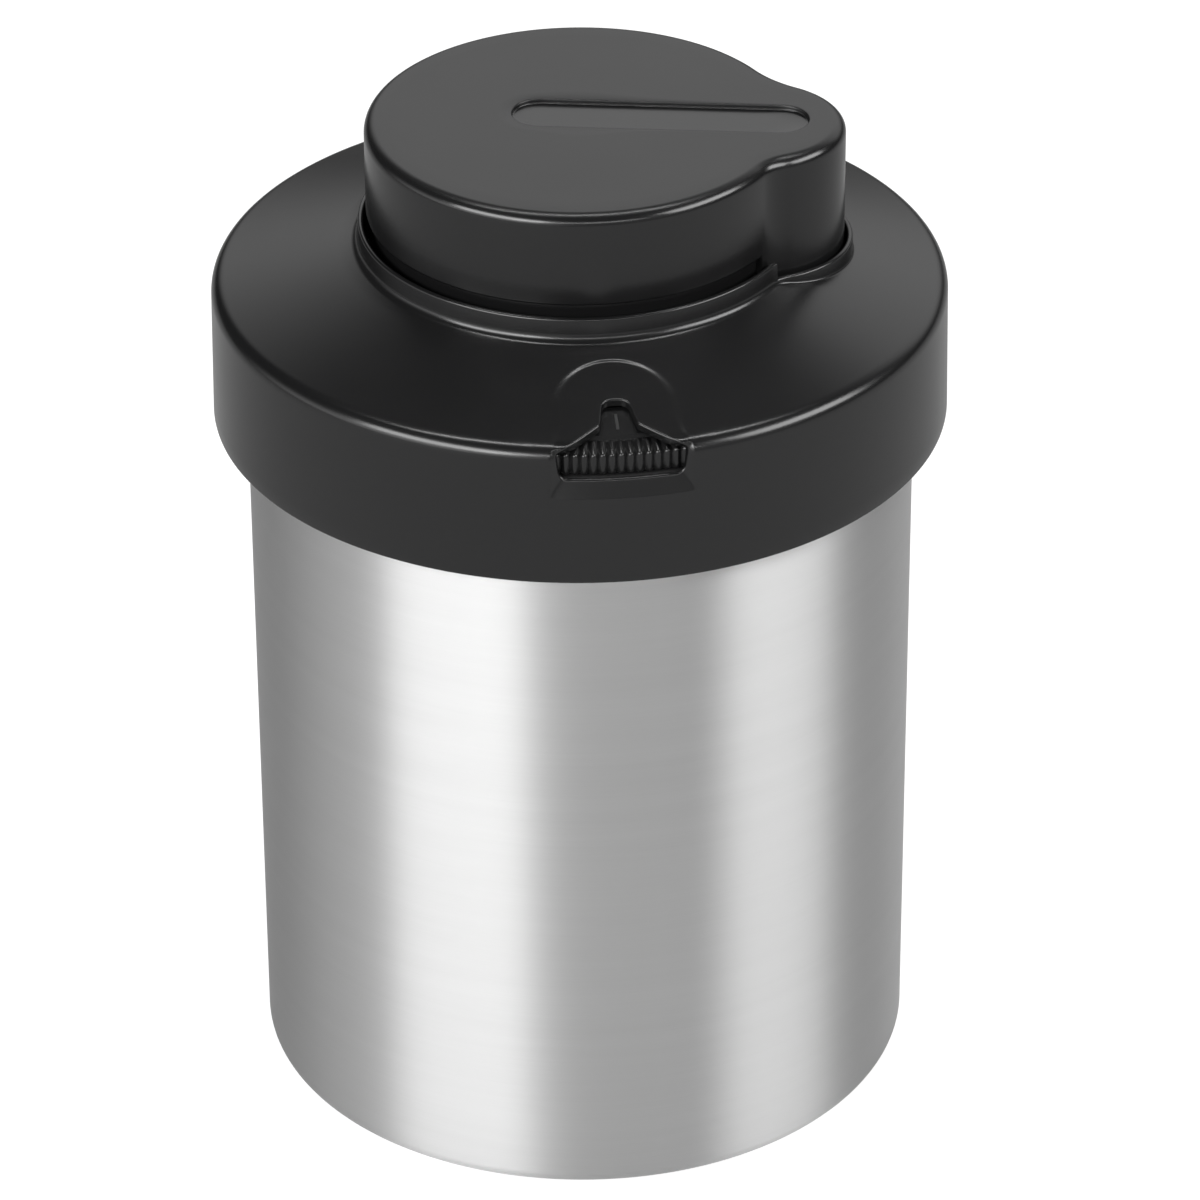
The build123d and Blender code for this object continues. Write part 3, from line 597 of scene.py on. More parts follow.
class LidSkin:
    """The lid's wall as a surface of two numbers.

    u is the angle from the window, as a width on a middle circle, and s the distance up the section.
    """

    middle = 58 * MM

    def __init__(self, lid):
        self.lid = lid
        self.line = lid_section(lid)
        self.path = along(self.line)
        way = np.gradient(self.line, axis=0)
        way /= np.linalg.norm(way, axis=1)[:, None]
        self.normal = np.column_stack([way[:, 1], -way[:, 0]])

    def at_height(self, height):
        """Distance up the section to a height."""
        return np.interp(height, self.line[:, 1], self.path)

    def at_reach(self, reach):
        """Distance up the section to the cone's height at a reach."""
        return self.at_height(cone(self.lid, reach))

    def section(self, s, depth=0.0):
        """Reach and height at a distance up the section, moved inwards by a depth."""
        values = [np.interp(s, self.path, part) for part in (*self.line.T, *self.normal.T)]
        return values[0] - values[2] * depth, values[1] - values[3] * depth

    def point(self, u, s, depth=0.0):
        """Points of the plain wall, moved inwards by a depth."""
        reach, height = self.section(s, depth)
        return polar(u / self.middle - pi / 2, reach, height)

    def relieved(self, u, s):
        """Outer points with the thumb relief and the arched panel taken out.

        The relief cuts the band back to a cone that deepens towards the window and runs out below it,
        between flanks that slope in from both sides, with a rounded valley where they meet.
        The panel lies a little lower inside an outline of a half circle and two legs that flare outwards.
        """
        lid = self.lid
        narrowing = 0.6 * MM
        flank_slope = 0.75
        valley = 0.3 * MM
        leg_flare = 0.8 * MM
        foot_flare = 2.6 * MM
        bevel = 0.5 * MM
        panel_end = lid.radius - 1.2 * MM
        panel_fade = 1.5 * MM

        reach, height = self.section(s)
        x = reach * np.sin(u / self.middle)
        y = reach * np.cos(u / self.middle)
        rise = (height - lid.scoop_foot) / (lid.window_foot - lid.scoop_foot)
        half = lid.scoop_width - narrowing * np.clip(rise, 0, 1)
        limit = lid.radius + lid.edge_flare / 2 - lid.scoop * np.clip(rise, 0, 1)
        deep = np.maximum(reach - limit, 0) * (rise > 0)
        flank = np.maximum(half - np.abs(x), 0) * flank_slope
        cut = np.maximum(deep + flank - np.hypot(deep - flank, valley), 0) / 2
        spring = lid.arch_top + lid.arch_width
        leg = np.clip((y - spring) / (lid.radius - spring), 0, 1)
        width = lid.arch_width + leg_flare * leg + foot_flare * leg ** 5
        inside = np.where(y > spring, width - np.abs(x), lid.arch_width - np.hypot(x, y - spring))
        panel = lid.arch * soft_step(inside / bevel) * soft_step((panel_end - reach) / panel_fade)
        reach, height = self.section(s, panel)
        return polar(u / self.middle - pi / 2, reach - cut, height)

    def window(self):
        """Outline of window and notch on the surface, and the stops that part it into a rectangle's sides."""
        lid = self.lid
        below_shoulder = 0.8 * MM
        foot_bend = 1.4 * MM
        shoulder_bend = 0.9 * MM
        notch_bend = 0.7 * MM
        to_shoulder = 0.62
        samples = 4000

        def band(x, z):
            """Place of a corner on the band, from its width and its height."""
            s = self.at_height(z)
            return np.arcsin(x / self.section(s)[0]) * self.middle, s

        def on_cone(x, y):
            """Place of a corner on the cone, from its width and its distance in front of the axis."""
            return np.arctan2(x, y) * self.middle, self.at_reach(hypot(x, y))

        right = [
            (*band(lid.window, lid.window_foot), foot_bend),
            (*band(lid.window_top, lid.shoulder - below_shoulder), shoulder_bend),
            (*on_cone(lid.notch, lid.notch_base), notch_bend),
            (*on_cone(lid.notch_end, lid.notch_tip), lid.tip_rounding),
        ]
        left = [(-u, s, r) for u, s, r in right[::-1]]
        line = rounded(left[-1:] + right + left[:-1], 10, True)
        slant = np.array(right[1][:2]) * to_shoulder + np.array(right[2][:2]) * (1 - to_shoulder)
        marks = [np.array(left[-1][:2]), np.array(right[0][:2]), slant, slant * (-1, 1)]
        start = np.linalg.norm(line - marks[0], axis=1).argmin()
        line = np.vstack([line[start:], line[:start + 1]])
        distances = np.linspace(0, along(line)[-1], samples)
        dense = resampled(line, distances)
        stops = [distances[np.linalg.norm(dense - mark, axis=1).argmin()] for mark in marks[1:]]
        return line, [0, *stops, distances[-1]]


def lid_rows(lid, cap, skin, angle, lobe_ends):
    """Closed rows of points round the lid, and where the window's patch goes in them.

    The patch is given by its lowest and highest row outside, the same two inside, and the distances up the
    skin of all its rows. The rows start under the lower edge, climb band and cone, bend up into the collar
    by a hollow root that is narrower round the lobe, go over the rim and down inside the collar, and come
    back below the wall. Above the circle the level rows turn step by step into the collar's outline.
    """
    circle = 47.6 * MM
    below_scoop = 2.4 * MM
    below_shoulder = 3 * MM
    past_shoulder = 3.4 * MM
    above_panel = 0.8 * MM
    run_rows = (5, 7, 15, 8)
    lobe_fade = radians(7)
    outside = cap.gap + lid.collar_wall
    edge = lid.radius + lid.edge_flare
    r = lid.edge_rounding
    quarter = np.linspace(0, pi / 2, 5)
    rows = [polar(angle, edge - r * (1 - sin(t)), lid.edge + r * (1 - cos(t))) for t in quarter[:-1]]
    first = len(rows)

    stops = (
        0, skin.at_height(lid.scoop_foot - below_scoop), skin.at_height(lid.shoulder - below_shoulder),
        skin.at_reach(lid.radius - past_shoulder), skin.at_reach(circle))
    runs = [np.linspace(a, b, n, endpoint=False) for a, b, n in zip(stops, stops[1:], run_rows)]
    distances = np.append(np.concatenate(runs), stops[-1])
    rows += [polar(angle, *skin.section(s)) for s in distances]
    under = [polar(angle, *skin.section(s, lid.wall)) for s in distances]

    front, back = lobe_ends
    turn = (angle - cap.azimuth + pi) % (2 * pi) - pi
    round_lobe = soft_step((turn - front) / lobe_fade + 0.5) * soft_step((back - turn) / lobe_fade + 0.5)
    root = lid.root + (lid.lobe_root - lid.root) * round_lobe
    foot = teardrop(cap, angle, outside + root * (1 - sin(lid.slope)))
    front_foot = cap.radius + outside + lid.root * (1 - sin(lid.slope))
    patch_top = lid.arch_top - above_panel
    shares = np.append(np.linspace(0, (circle - patch_top) / (circle - front_foot), 10)[1:], 1)
    inward = np.array([sin(lid.slope), cos(lid.slope)]) * lid.wall
    for part in shares:
        reach = circle + (foot - circle) * part
        rows.append(polar(angle, reach, cone(lid, reach)))
        under.append(polar(angle, reach - inward[0], cone(lid, reach) - inward[1]))
    distances = np.append(distances, skin.at_reach(circle + (front_foot - circle) * shares))
    low = run_rows[0]
    high = len(distances) - 2

    centre = cone(lid, teardrop(cap, angle, outside + root)) + root / cos(lid.slope)
    start = 1.5 * pi - lid.slope
    miss = cone(lid, foot) - centre - root * sin(start)
    for t in np.linspace(0, 1, 8)[1:]:
        swing = start + (pi - start) * t
        reach = teardrop(cap, angle, outside + root * (1 + cos(swing)))
        rows.append(polar(angle, reach, centre + root * sin(swing) + miss * (1 - t)))

    r = lid.rim_rounding
    rim = np.where((turn > front) & (turn < back), lid.lip, lid.collar)
    wall = teardrop(cap, angle, outside)
    over = [(outside - r * (1 - cos(t)), r * (1 - sin(t))) for t in quarter]
    over += [(cap.gap + r * (1 - cos(t)), r * (1 - sin(t))) for t in quarter[::-1]]
    rows += [polar(angle, teardrop(cap, angle, offset), rim - drop) for offset, drop in over]
    rows.append(polar(angle, teardrop(cap, angle, cap.gap), lid.collar_foot))
    rows.append(polar(angle, wall, lid.collar_foot))
    rows.append(polar(angle, wall, cone(lid, wall) - lid.wall / cos(lid.slope)))
    rows += under[::-1]
    last = len(rows) - 1
    rows.append(polar(angle, edge - lid.wall + lid.edge_rounding / 2, lid.edge))
    return np.stack(rows), (first + low, first + high), (last - low, last - high), distances[low:high + 1]


def window_rings(lid, skin, half, across, levels):
    """Rings from a rectangle on the skin in to the window's rounded edge, and out again below the wall.

    The rectangle is twice half wide with that many steps across, and its sides have a point at each level.
    """
    r = lid.window_rounding
    inset = 0.1 * MM
    outer_rings = 64
    edge_rings = 6
    inner_rings = 9
    up = len(levels) - 1
    widths = np.linspace(-half, half, across + 1)
    border = np.vstack([
        np.column_stack([widths[:-1], np.full(across, levels[0])]),
        np.column_stack([np.full(up, half), levels[:-1]]),
        np.column_stack([widths[:0:-1], np.full(across, levels[-1])]),
        np.column_stack([np.full(up, -half), levels[:0:-1]])])
    line, stops = skin.window()
    steps = (across, up, across, up)
    places = np.concatenate([
        np.linspace(a, b, n, endpoint=False) for a, b, n in zip(stops, stops[1:], steps)])
    hole = resampled(line, places)
    way = np.roll(hole, -1, axis=0) - np.roll(hole, 1, axis=0)
    way /= np.linalg.norm(way, axis=1)[:, None]
    off = np.column_stack([way[:, 1], -way[:, 0]])

    def through(flat):
        """Outer and inner points at places on the skin, and the way from one to the other."""
        outer = skin.relieved(*flat.T)
        inner = skin.point(*flat.T, lid.wall)
        way = inner - outer
        return outer, inner, way / np.linalg.norm(way, axis=1)[:, None]

    rings = []
    for t in np.linspace(1, 0, outer_rings)[1:]:
        flat = (hole + off * r) * (1 - t) + border * t
        rings.append(skin.relieved(*flat.T))
    for t in np.linspace(0, pi / 2, edge_rings)[1:]:
        outer, _, way = through(hole + off * r * (1 - sin(t)))
        rings.append(outer + way * (r * (1 - cos(t))))
    _, inner, way = through(hole)
    rings.append(inner - way * inset)
    for t in np.linspace(0, 1, inner_rings)[:-1]:
        flat = (hole + off * inset) * (1 - t) + border * t
        rings.append(skin.point(*flat.T, lid.wall))
    return np.stack(rings)


class CANISTER_OT_lid(bpy.types.Operator):
    """Lid cover: band, cone, date window with its thumb relief, and the teardrop collar"""

    bl_idname = "canister.lid"
    bl_label = "Lid cover"

    def execute(self, context):
        lid = context.scene.canister_lid
        cap = context.scene.canister_cap
        skin = LidSkin(lid)
        columns = 560
        middle = columns // 2
        window_columns = 35
        angle = -pi / 2 + (np.arange(columns) - middle) * 2 * pi / columns
        lobe_ends = lobe_turns(cap, cap.gap + lid.collar_wall, cap.step)
        for end in lobe_ends:
            angle = snapped(angle, cap.azimuth + end, STEP_GAP)
        points, outer_rows, inner_rows, levels = lid_rows(lid, cap, skin, angle, lobe_ends)
        numbers = np.arange(points.shape[0] * columns).reshape(-1, columns)
        faces = strips(np.vstack([numbers, numbers[:1]])).reshape(-1, columns, 4)

        left = middle - window_columns
        right = middle + window_columns
        keep = np.ones(faces.shape[:2], bool)
        for start, end in (outer_rows, inner_rows[::-1]):
            keep[start:end, left:right] = False

        def border(bottom, top):
            """Numbers of the points round the hole in the rows, from its lower left corner."""
            way = 1 if top > bottom else -1
            return np.concatenate([
                numbers[bottom, left:right], numbers[bottom:top:way, right],
                numbers[top, right:left:-1], numbers[top:bottom:-way, left]])

        half = (angle[right] + pi / 2) * skin.middle
        rings = window_rings(lid, skin, half, right - left, levels)
        ring_numbers = numbers.size + np.arange(rings.shape[0] * rings.shape[1]).reshape(rings.shape[:2])
        patch = strips(np.vstack([border(*outer_rows), ring_numbers, border(*inner_rows)]))
        points = np.vstack([points.reshape(-1, 3), rings.reshape(-1, 3)])
        plastic = moulded_plastic(
            "lid_plastic", lid.plastic, roughness=0.23, grain=0.33 * MM, depth=0.006 * MM)
        mesh_piece("moulded_lid", points, np.vstack([faces[keep], patch]).tolist(), "lid",
                   plastic, ["lid_cover"])
        return {"FINISHED"}


class CANISTER_OT_cap(bpy.types.Operator):
    """Pump cap: teardrop with a rounded top edge, a bare stadium recess and a deeper skirt at the lobe"""

    bl_idname = "canister.cap"
    bl_label = "Pump cap"

    def execute(self, context):
        cap = context.scene.canister_cap
        ceiling = cap.height - cap.wall
        socket_columns = 64
        guide_columns = 120
        angle = self.angles(cap)
        rows = self.recess(cap, angle) + self.crown(cap, angle) + self.skirt(cap, angle)
        rows += [polar(angle, teardrop(cap, angle, -cap.wall) * t, ceiling) for t in (1, 0.75, 0.5, 0.25, 0)]
        points = np.stack(rows)
        numbers = np.arange(points.shape[0] * len(angle)).reshape(points.shape[:2])
        faces = [strips(numbers)]
        points = [points.reshape(-1, 3)]

        socket = np.array([
            (cap.socket, ceiling), (cap.socket, cap.socket_foot), (cap.socket_bore, cap.socket_foot),
            (cap.socket_bore, ceiling), (cap.socket, ceiling)])
        more, rows = turned_mesh(socket, socket_columns)
        faces.append(strips(rows) + sum(len(part) for part in points))
        points.append(more)
        open_turn = np.arccos((cap.step - cap.guide_wall) / cap.guide)
        swing = cap.azimuth + np.linspace(open_turn, 2 * pi - open_turn, guide_columns)
        ring = np.array([
            (cap.guide, ceiling), (cap.guide, cap.guide_foot), (cap.guide - cap.guide_wall, cap.guide_foot),
            (cap.guide - cap.guide_wall, ceiling)])
        block = polar(swing[:, None], ring[None, :, 0], ring[None, :, 1])
        rows = np.arange(block.shape[0] * 4).reshape(-1, 4)
        ends = np.array([rows[0], rows[-1]])
        faces.append(np.vstack([strips(rows), ends]) + sum(len(part) for part in points))
        points.append(block.reshape(-1, 3))
        mesh_piece("teardrop_cap", np.vstack(points), np.vstack(faces).tolist(), "pump_cap",
                   cap_plastic(cap), ["pump_cap"])
        return {"FINISHED"}

    def angles(self, cap):
        """Angles round the axis that crowd towards the lobe, with a close pair at each end of its skirt."""
        crowding = 0.35
        columns = 560
        even = np.linspace(-pi, pi, columns, endpoint=False)
        angle = cap.azimuth + even - crowding * np.sin(even)
        for end in lobe_turns(cap, 0, cap.skirt_step):
            angle = snapped(angle, cap.azimuth + end, STEP_GAP)
        return angle

    def recess(self, cap, angle):
        """Rows from the middle of the recess over its rounded foot and rim, and on to the top's edge."""
        r = cap.recess_rounding
        floor = cap.height - cap.recess_depth
        quarter = np.linspace(0, pi / 2, 5)
        rows = [polar(angle, stadium(cap, angle, -r) * t, floor) for t in (0, 0.3, 0.6, 0.85)]
        edges = [(r * (sin(t) - 1), floor + r * (1 - cos(t))) for t in quarter]
        edges += [(r * (1 - cos(t)), cap.height - r * (1 - sin(t))) for t in quarter]
        rows += [polar(angle, stadium(cap, angle, offset), height) for offset, height in edges]
        inset = teardrop(cap, angle, -cap.edge)
        around = stadium(cap, angle, r)
        shares = np.linspace(0, 1, 10)[1:-1]
        return rows + [polar(angle, around + (inset - around) * t, cap.height) for t in shares]

    def crown(self, cap, angle):
        """Rows round the top edge, a quarter circle on the teardrop outline."""
        arc = [(cap.edge * (sin(t) - 1), cap.edge * (1 - cos(t))) for t in np.linspace(0, pi / 2, 15)]
        return [polar(angle, teardrop(cap, angle, offset), cap.height - drop) for offset, drop in arc]

    def skirt(self, cap, angle):
        """Rows down the wall and round its lower edge, which lies lower at the lobe."""
        r = cap.skirt_rounding
        turn = angle - cap.azimuth
        front, back = lobe_turns(cap, 0, cap.skirt_step)
        foot = np.where((turn > front) & (turn < back), cap.lobe_skirt, cap.skirt)
        top = cap.height - cap.edge
        outline = teardrop(cap, angle, 0)
        rows = [polar(angle, outline, top + (foot + r - top) * t) for t in np.linspace(0, 1, 5)[1:-1]]
        arc = [(r * (cos(t) - 1), r * (1 - sin(t))) for t in np.linspace(0, pi / 2, 5)]
        rows += [polar(angle, teardrop(cap, angle, offset), foot + rise) for offset, rise in arc]
        return rows + [polar(angle, teardrop(cap, angle, -cap.wall), foot)]


def dial_top(dial, lid, reach):
    """Height of the dial's upper face, which runs parallel to the cone above it."""
    return cone(lid, reach) - lid.wall / cos(lid.slope) - dial.gap


class CANISTER_OT_dial(bpy.types.Operator):
    """Date dial: a ring with rounded ridges for the thumb and raised numbers on its sloping face"""

    bl_idname = "canister.dial"
    bl_label = "Date dial"

    def execute(self, context):
        dial = context.scene.canister_dial
        lid = context.scene.canister_lid
        self.ring(dial, lid)
        self.numbers(dial, lid)
        return {"FINISHED"}

    def ring(self, dial, lid):
        """A closed profile carried round, whose ridges rise by a power of a raised cosine."""
        ridges = dial.days * dial.ridges_per_day
        columns_per_ridge = 8
        fullness = 0.6
        angle = np.linspace(0, 2 * pi, ridges * columns_per_ridge, endpoint=False)
        ridge = (0.5 + 0.5 * np.cos(angle * ridges)) ** fullness
        outer = dial.radius - dial.ridge * (1 - ridge)
        r = dial.rounding
        rows = [polar(angle, dial.bore, dial.foot)]
        rows += [polar(angle, outer - r * (1 - sin(t)), dial.foot + r * (1 - cos(t)))
                 for t in np.linspace(0, pi / 2, 5)]
        rim = dial_top(dial, lid, dial.radius) - dial.ridge * (1 - ridge)
        rows += [polar(angle, outer - r * (1 - cos(t)), rim - r * (1 - sin(t)))
                 for t in np.linspace(0, pi / 2 - lid.slope, 6)]
        fading = ((0.35, 1), (0.7, 1), (0.86, 1), (0.95, 0.85), (1.0, 0.5), (1.05, 0.15), (1.12, 0))
        for part, rise in fading:
            reach = dial.radius - dial.ridge_reach * part
            height = dial_top(dial, lid, reach) - dial.ridge * (1 - ridge * rise)
            rows.append(polar(angle, reach, height))
        end = dial.radius - dial.ridge_reach
        bevel = 0.3 * MM
        close_rows = (end - 0.8 * MM, end - 1.1 * MM, dial.bore + 0.55 * MM, dial.bore + bevel)
        for reach in close_rows:
            rows.append(polar(angle, reach, dial_top(dial, lid, reach)))
        rows.append(polar(angle, dial.bore, dial_top(dial, lid, dial.bore) - bevel))
        points = np.stack(rows)
        numbers = np.arange(points.shape[0] * len(angle)).reshape(points.shape[:2])
        faces = strips(np.vstack([numbers, numbers[:1]]))
        plastic = moulded_plastic(
            "dial_plastic", dial.plastic, roughness=0.26, grain=0.3 * MM, depth=0.005 * MM)
        mesh_piece("date_dial", points.reshape(-1, 3), faces.tolist(), "date_ring",
                   plastic, ["date_ring"])

    def numbers(self, dial, lid):
        """The numbers: each one's width wraps round the dial, and its height lies down the sloping face."""
        all_points = []
        all_faces = []
        for day in range(1, dial.days + 1):
            points, faces = digits(str(day), dial.number_height, dial.number_relief)
            reach = dial.number_radius - points[:, 1]
            swing = -pi / 2 + (day - 1) * 2 * pi / dial.days + points[:, 0] / dial.number_radius
            height = dial_top(dial, lid, reach) + points[:, 2]
            base = sum(len(part) for part in all_points)
            all_faces += [[corner + base for corner in face] for face in faces]
            all_points.append(polar(swing, reach, height))
        plastic = moulded_plastic(
            "number_plastic", dial.number_plastic, roughness=0.4, grain=0.3 * MM, depth=0.005 * MM)
        mesh_piece("dial_numbers", np.vstack(all_points), all_faces, "date_ring", plastic)


def digits(text, height, relief):
    """Points and faces of raised digits, centred, lying in XY with their relief along Z."""
    size_per_height = 1.4
    curve = bpy.data.curves.new("digits", "FONT")
    curve.body = text
    curve.size = height * size_per_height
    curve.align_x = "CENTER"
    curve.align_y = "CENTER"
    curve.resolution_u = 3
    curve.extrude = relief
    holder = bpy.data.objects.new("digits", curve)
    bpy.context.scene.collection.objects.link(holder)
    bpy.context.view_layer.update()
    mesh = bpy.data.meshes.new_from_object(holder)
    points = np.zeros(len(mesh.vertices) * 3)
    mesh.vertices.foreach_get("co", points)
    faces = [list(polygon.vertices) for polygon in mesh.polygons]
    bpy.data.objects.remove(holder)
    bpy.data.curves.remove(curve)
    bpy.data.meshes.remove(mesh)
    return points.reshape(-1, 3), faces


class SpringSettings(bpy.types.PropertyGroup):
    """Sizes of the return spring under the cap."""

    radius: length("Radius", "Radius of the coil's middle", 11.56)
    wire: length("Wire", "Radius of the wire", 0.75)
    foot: length("Foot", "Height of the seat under it", 139.9)
    top: length("Top", "Height of the cap's ceiling", 170.0)
    turns: FloatProperty(name="Turns", description="Turns from end to end", default=6.0, min=2.0)
    end_pitch: length("End pitch", "Rise of the closed turn at each end", 2.1)
    travel: length("Travel", "How far the cap presses it together", 11.0)


class CANISTER_OT_spring(bpy.types.Operator):
    """Return spring: one round wire on a helix with a closer turn at each end"""

    bl_idname = "canister.spring"
    bl_label = "Return spring"

    def execute(self, context):
        spring = context.scene.canister_spring
        sides = 14
        rings = 337
        turn = np.linspace(0, spring.turns, rings)
        bottom = spring.foot + spring.wire
        top = spring.top - spring.wire
        height = np.interp(turn, (0, 1, spring.turns - 1, spring.turns),
                           (bottom, bottom + spring.end_pitch, top - spring.end_pitch, top))
        angle = 2 * pi * turn
        centre = polar(angle, spring.radius, height)
        out = polar(angle, 1.0, 0.0)
        way = np.gradient(centre, axis=0)
        way /= np.linalg.norm(way, axis=1)[:, None]
        side = np.cross(way, out)
        swing = np.linspace(0, 2 * pi, sides, endpoint=False)[None, :, None]
        tube = centre[:, None] + spring.wire * (np.cos(swing) * out[:, None] + np.sin(swing) * side[:, None])
        ends = [np.repeat(centre[[end], None], sides, 1) for end in (0, -1)]
        tube = np.concatenate([ends[0], tube, ends[1]])
        rows = np.arange(tube.shape[0] * sides).reshape(-1, sides)
        piece = mesh_piece("lift_spring", tube.reshape(-1, 3), strips(rows).tolist(), "lid",
                           turned_metal("spring_wire", (0.55, 0.55, 0.55), roughness=0.28), ["return_spring"])
        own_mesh(piece)
        return {"FINISHED"}


class CANISTER_OT_inner(bpy.types.Operator):
    """Finishes for the inner pieces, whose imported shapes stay"""

    bl_idname = "canister.inner"
    bl_label = "Inner pieces"

    def execute(self, context):
        black = moulded_plastic(
            "inner_plastic", (0.03, 0.03, 0.0305), roughness=0.42, grain=0.35 * MM, depth=0.02 * MM)
        natural = moulded_plastic(
            "cylinder_plastic", (0.6, 0.61, 0.6), roughness=0.36, grain=0.4 * MM, depth=0.008 * MM)
        silicone = soft_silicone("silicone", (0.5, 0.51, 0.5))
        plated = turned_metal("plated_steel", (0.68, 0.68, 0.68), roughness=0.22)
        sheet = turned_metal("screen_sheet", (0.6, 0.6, 0.6), roughness=0.3)
        finishes = {
            "lid_base": black, "filter_ring": black, "lid_gasket": silicone, "cylinder_seal": silicone,
            "intake_valve": silicone, "piston_seal": silicone, "exhaust_valve": silicone,
            "pump_cylinder": natural, "cylinder_cover": natural, "piston": natural, "piston_rod": natural,
            "lid_screws": plated, "cylinder_screws": plated, "piston_screw": plated, "filter_screen": sheet,
        }
        for name, material in finishes.items():
            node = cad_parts[name]
            for place in node.material_slots:
                place.material = material
        return {"FINISHED"}


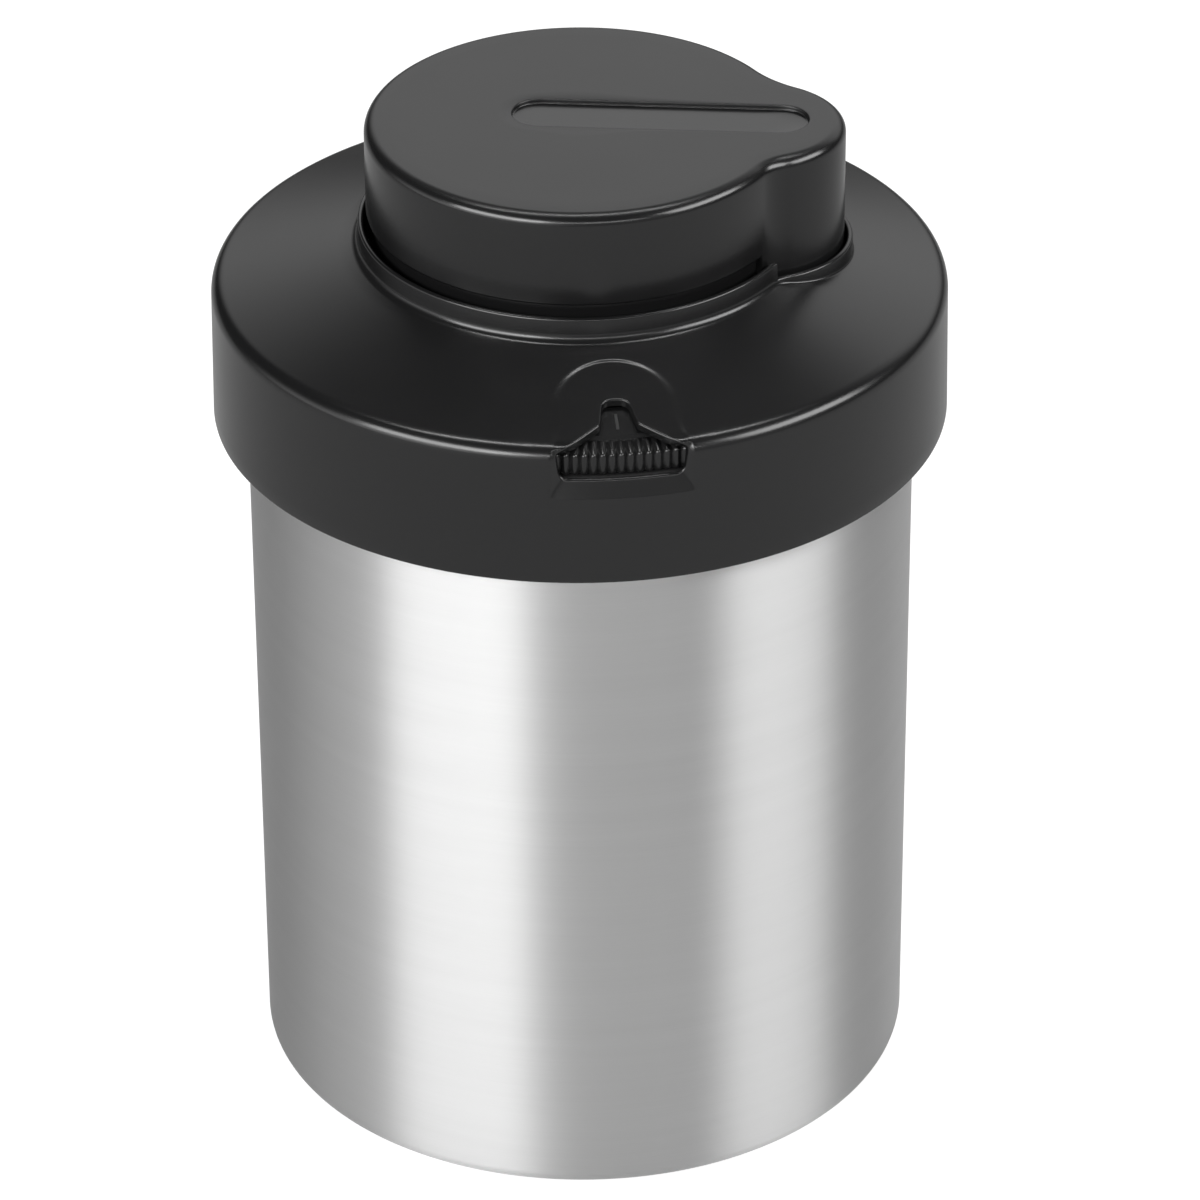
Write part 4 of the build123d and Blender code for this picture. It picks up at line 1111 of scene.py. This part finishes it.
class CANISTER_OT_stage(bpy.types.Operator):
    """Pale floor, soft lamps, a plain studio world and the camera"""

    bl_idname = "canister.stage"
    bl_label = "Stage"

    def execute(self, context):
        stage = context.scene.canister_stage
        self.floor(stage)
        self.world(context)
        self.lamp("key_lamp", stage.key, place=(-0.80, -0.71, 0.62), size=(0.98, 0.4))
        self.lamp("fill_lamp", stage.fill, place=(0.93, -0.45, 0.72), size=(0.85, 0.45))
        self.lamp("front_lamp", stage.front, place=(-0.13, -1.19, 0.69), size=(1.6, 0.07))
        self.lamp("top_lamp", stage.top, place=(0.0, 0.13, 1.3), size=(1.1, 0.11))
        self.camera(context, stage)
        context.scene.view_settings.view_transform = "Standard"
        return {"FINISHED"}

    def floor(self, stage):
        """A matte floor that glows white to the camera, and less in the steel's reflections."""
        glossy_share = 0.22
        glow_strength = 0.85
        half = 6.0
        mesh = bpy.data.meshes.new("studio_floor")
        corners = [(-half, -half, 0), (half, -half, 0), (half, half, 0), (-half, half, 0)]
        mesh.from_pydata(corners, [], [(0, 1, 2, 3)])
        paint = Paint("floor_white")
        camera, transmission, glossy = paint.rays("Camera", "Transmission", "Glossy")
        seen = camera + transmission + glossy * glossy_share
        matte = paint.node("BsdfDiffuse", inputs={"Color": rgb(stage.floor)})
        glow = paint.node("Emission", inputs={"Color": rgb(1.0), "Strength": seen * glow_strength})
        both = paint.node("AddShader", inputs={0: matte, 1: glow})
        paint.node("OutputMaterial", inputs={"Surface": both})
        mesh.materials.append(paint.owner)
        floor = bpy.data.objects.new("studio_floor", mesh)
        bpy.context.scene.collection.objects.link(floor)

    def world(self, context):
        """A white backdrop for the camera, a dim room for the matte share, and walls for reflections.

        One wall stands behind the object, clear of the floor and open at the top, one in front and one on
        the left, each a soft step on how far a ray's way turns towards it.
        """
        world = bpy.data.worlds.new("studio")
        context.scene.world = world
        paint = Paint("studio", world)
        way = paint.split(paint.node("TexCoord", output="Generated"))
        up = way[2]
        behind = way[0] * 0.36 + way[1] * 0.895 + up * 0.26
        front = way[0] * -0.11 - way[1] * 0.994
        left = way[0] * -0.906 - way[1] * 0.423
        camera, glossy = paint.rays("Camera", "Glossy")
        low = 1.0 - up.above(0.3, 0.4)
        back_wall = behind.above(0.78, 0.24) * up.above(0.22, 0.4) * (1.0 - up.above(0.68, 0.12))
        front_wall = front.above(0.4, 0.5) * low
        left_wall = left.above(0.76, 0.6) * low
        wall = back_wall * 1.08 + front_wall * 0.3 + left_wall * 1.85 + 0.03
        room = 0.15
        strength = room * (1.0 - glossy) + glossy * wall
        strength = strength * (1.0 - camera) + camera
        shade = paint.node("Background", inputs={"Color": rgb(1.0), "Strength": strength})
        paint.node("OutputWorld", inputs={"Surface": shade})

    def lamp(self, name, watts, place, size):
        """A rectangular lamp that faces the can."""
        target = Vector((0, 0, 0.08))
        light = bpy.data.lights.new(name, "AREA")
        light.shape = "RECTANGLE"
        light.size, light.size_y = size
        light.energy = watts
        lamp = bpy.data.objects.new(name, light)
        aim = target - Vector(place)
        lamp.matrix_world = Matrix.Translation(place) @ aim.to_track_quat("-Z", "Y").to_matrix().to_4x4()
        bpy.context.scene.collection.objects.link(lamp)

    def camera(self, context, stage):
        """A camera on the canister's front side, turned round its axis, that looks down, aside and leans."""
        forward = Vector((
            sin(stage.yaw) * cos(stage.pitch), cos(stage.yaw) * cos(stage.pitch), -sin(stage.pitch)))
        level = Vector((cos(stage.yaw), -sin(stage.yaw), 0))
        upward = level.cross(forward)
        right = level * cos(stage.roll) + upward * sin(stage.roll)
        above = upward * cos(stage.roll) - level * sin(stage.roll)
        view = Matrix((right, above, -forward)).transposed().to_4x4()
        data = bpy.data.cameras.new("photo_camera")
        data.lens = stage.lens
        data.sensor_width = 36.0
        data.clip_end = 50.0
        camera = bpy.data.objects.new("photo_camera", data)
        place = Matrix.Translation((0, -stage.distance, stage.height))
        camera.matrix_world = Matrix.Rotation(stage.turn, 4, "Z") @ place @ view
        bpy.context.scene.collection.objects.link(camera)
        context.scene.camera = camera


class CANISTER_PT_panel(bpy.types.Panel):
    """Lists the canister's pieces in the sidebar"""

    bl_idname = "CANISTER_PT_panel"
    bl_label = "Canister"
    bl_space_type = "VIEW_3D"
    bl_region_type = "UI"
    bl_category = "Canister"

    def draw(self, context):
        for operator in OPERATORS:
            self.layout.operator(operator.bl_idname)
        for group in SETTINGS:
            box = self.layout.box()
            box.label(text=group.replace("_", " "))
            values = getattr(context.scene, group)
            for name in values.bl_rna.properties.keys():
                if name not in ("rna_type", "name"):
                    box.prop(values, name)


OPERATORS = (
    CANISTER_OT_can, CANISTER_OT_lid, CANISTER_OT_cap, CANISTER_OT_dial, CANISTER_OT_spring,
    CANISTER_OT_inner, CANISTER_OT_stage)
SETTINGS = {
    "canister_can": CanSettings, "canister_lid": LidSettings, "canister_cap": CapSettings,
    "canister_dial": DialSettings, "canister_spring": SpringSettings, "canister_stage": StageSettings,
}
CLASSES = (*SETTINGS.values(), *OPERATORS, CANISTER_PT_panel)


def register():
    """Adds the classes and each group of settings to Blender."""
    for item in CLASSES:
        bpy.utils.register_class(item)
    for name, group in SETTINGS.items():
        setattr(bpy.types.Scene, name, PointerProperty(type=group))


def unregister():
    """Takes the settings and the classes out again."""
    for name in SETTINGS:
        delattr(bpy.types.Scene, name)
    for item in reversed(CLASSES):
        bpy.utils.unregister_class(item)


def main():
    """Makes every piece and the stage."""
    register()
    for operator in OPERATORS:
        group, name = operator.bl_idname.split(".")
        result = getattr(getattr(bpy.ops, group), name)()
        if result != {"FINISHED"}:
            raise RuntimeError(f"{operator.bl_label} wasn't made")
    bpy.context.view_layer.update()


if __name__ == "__main__":
    main()
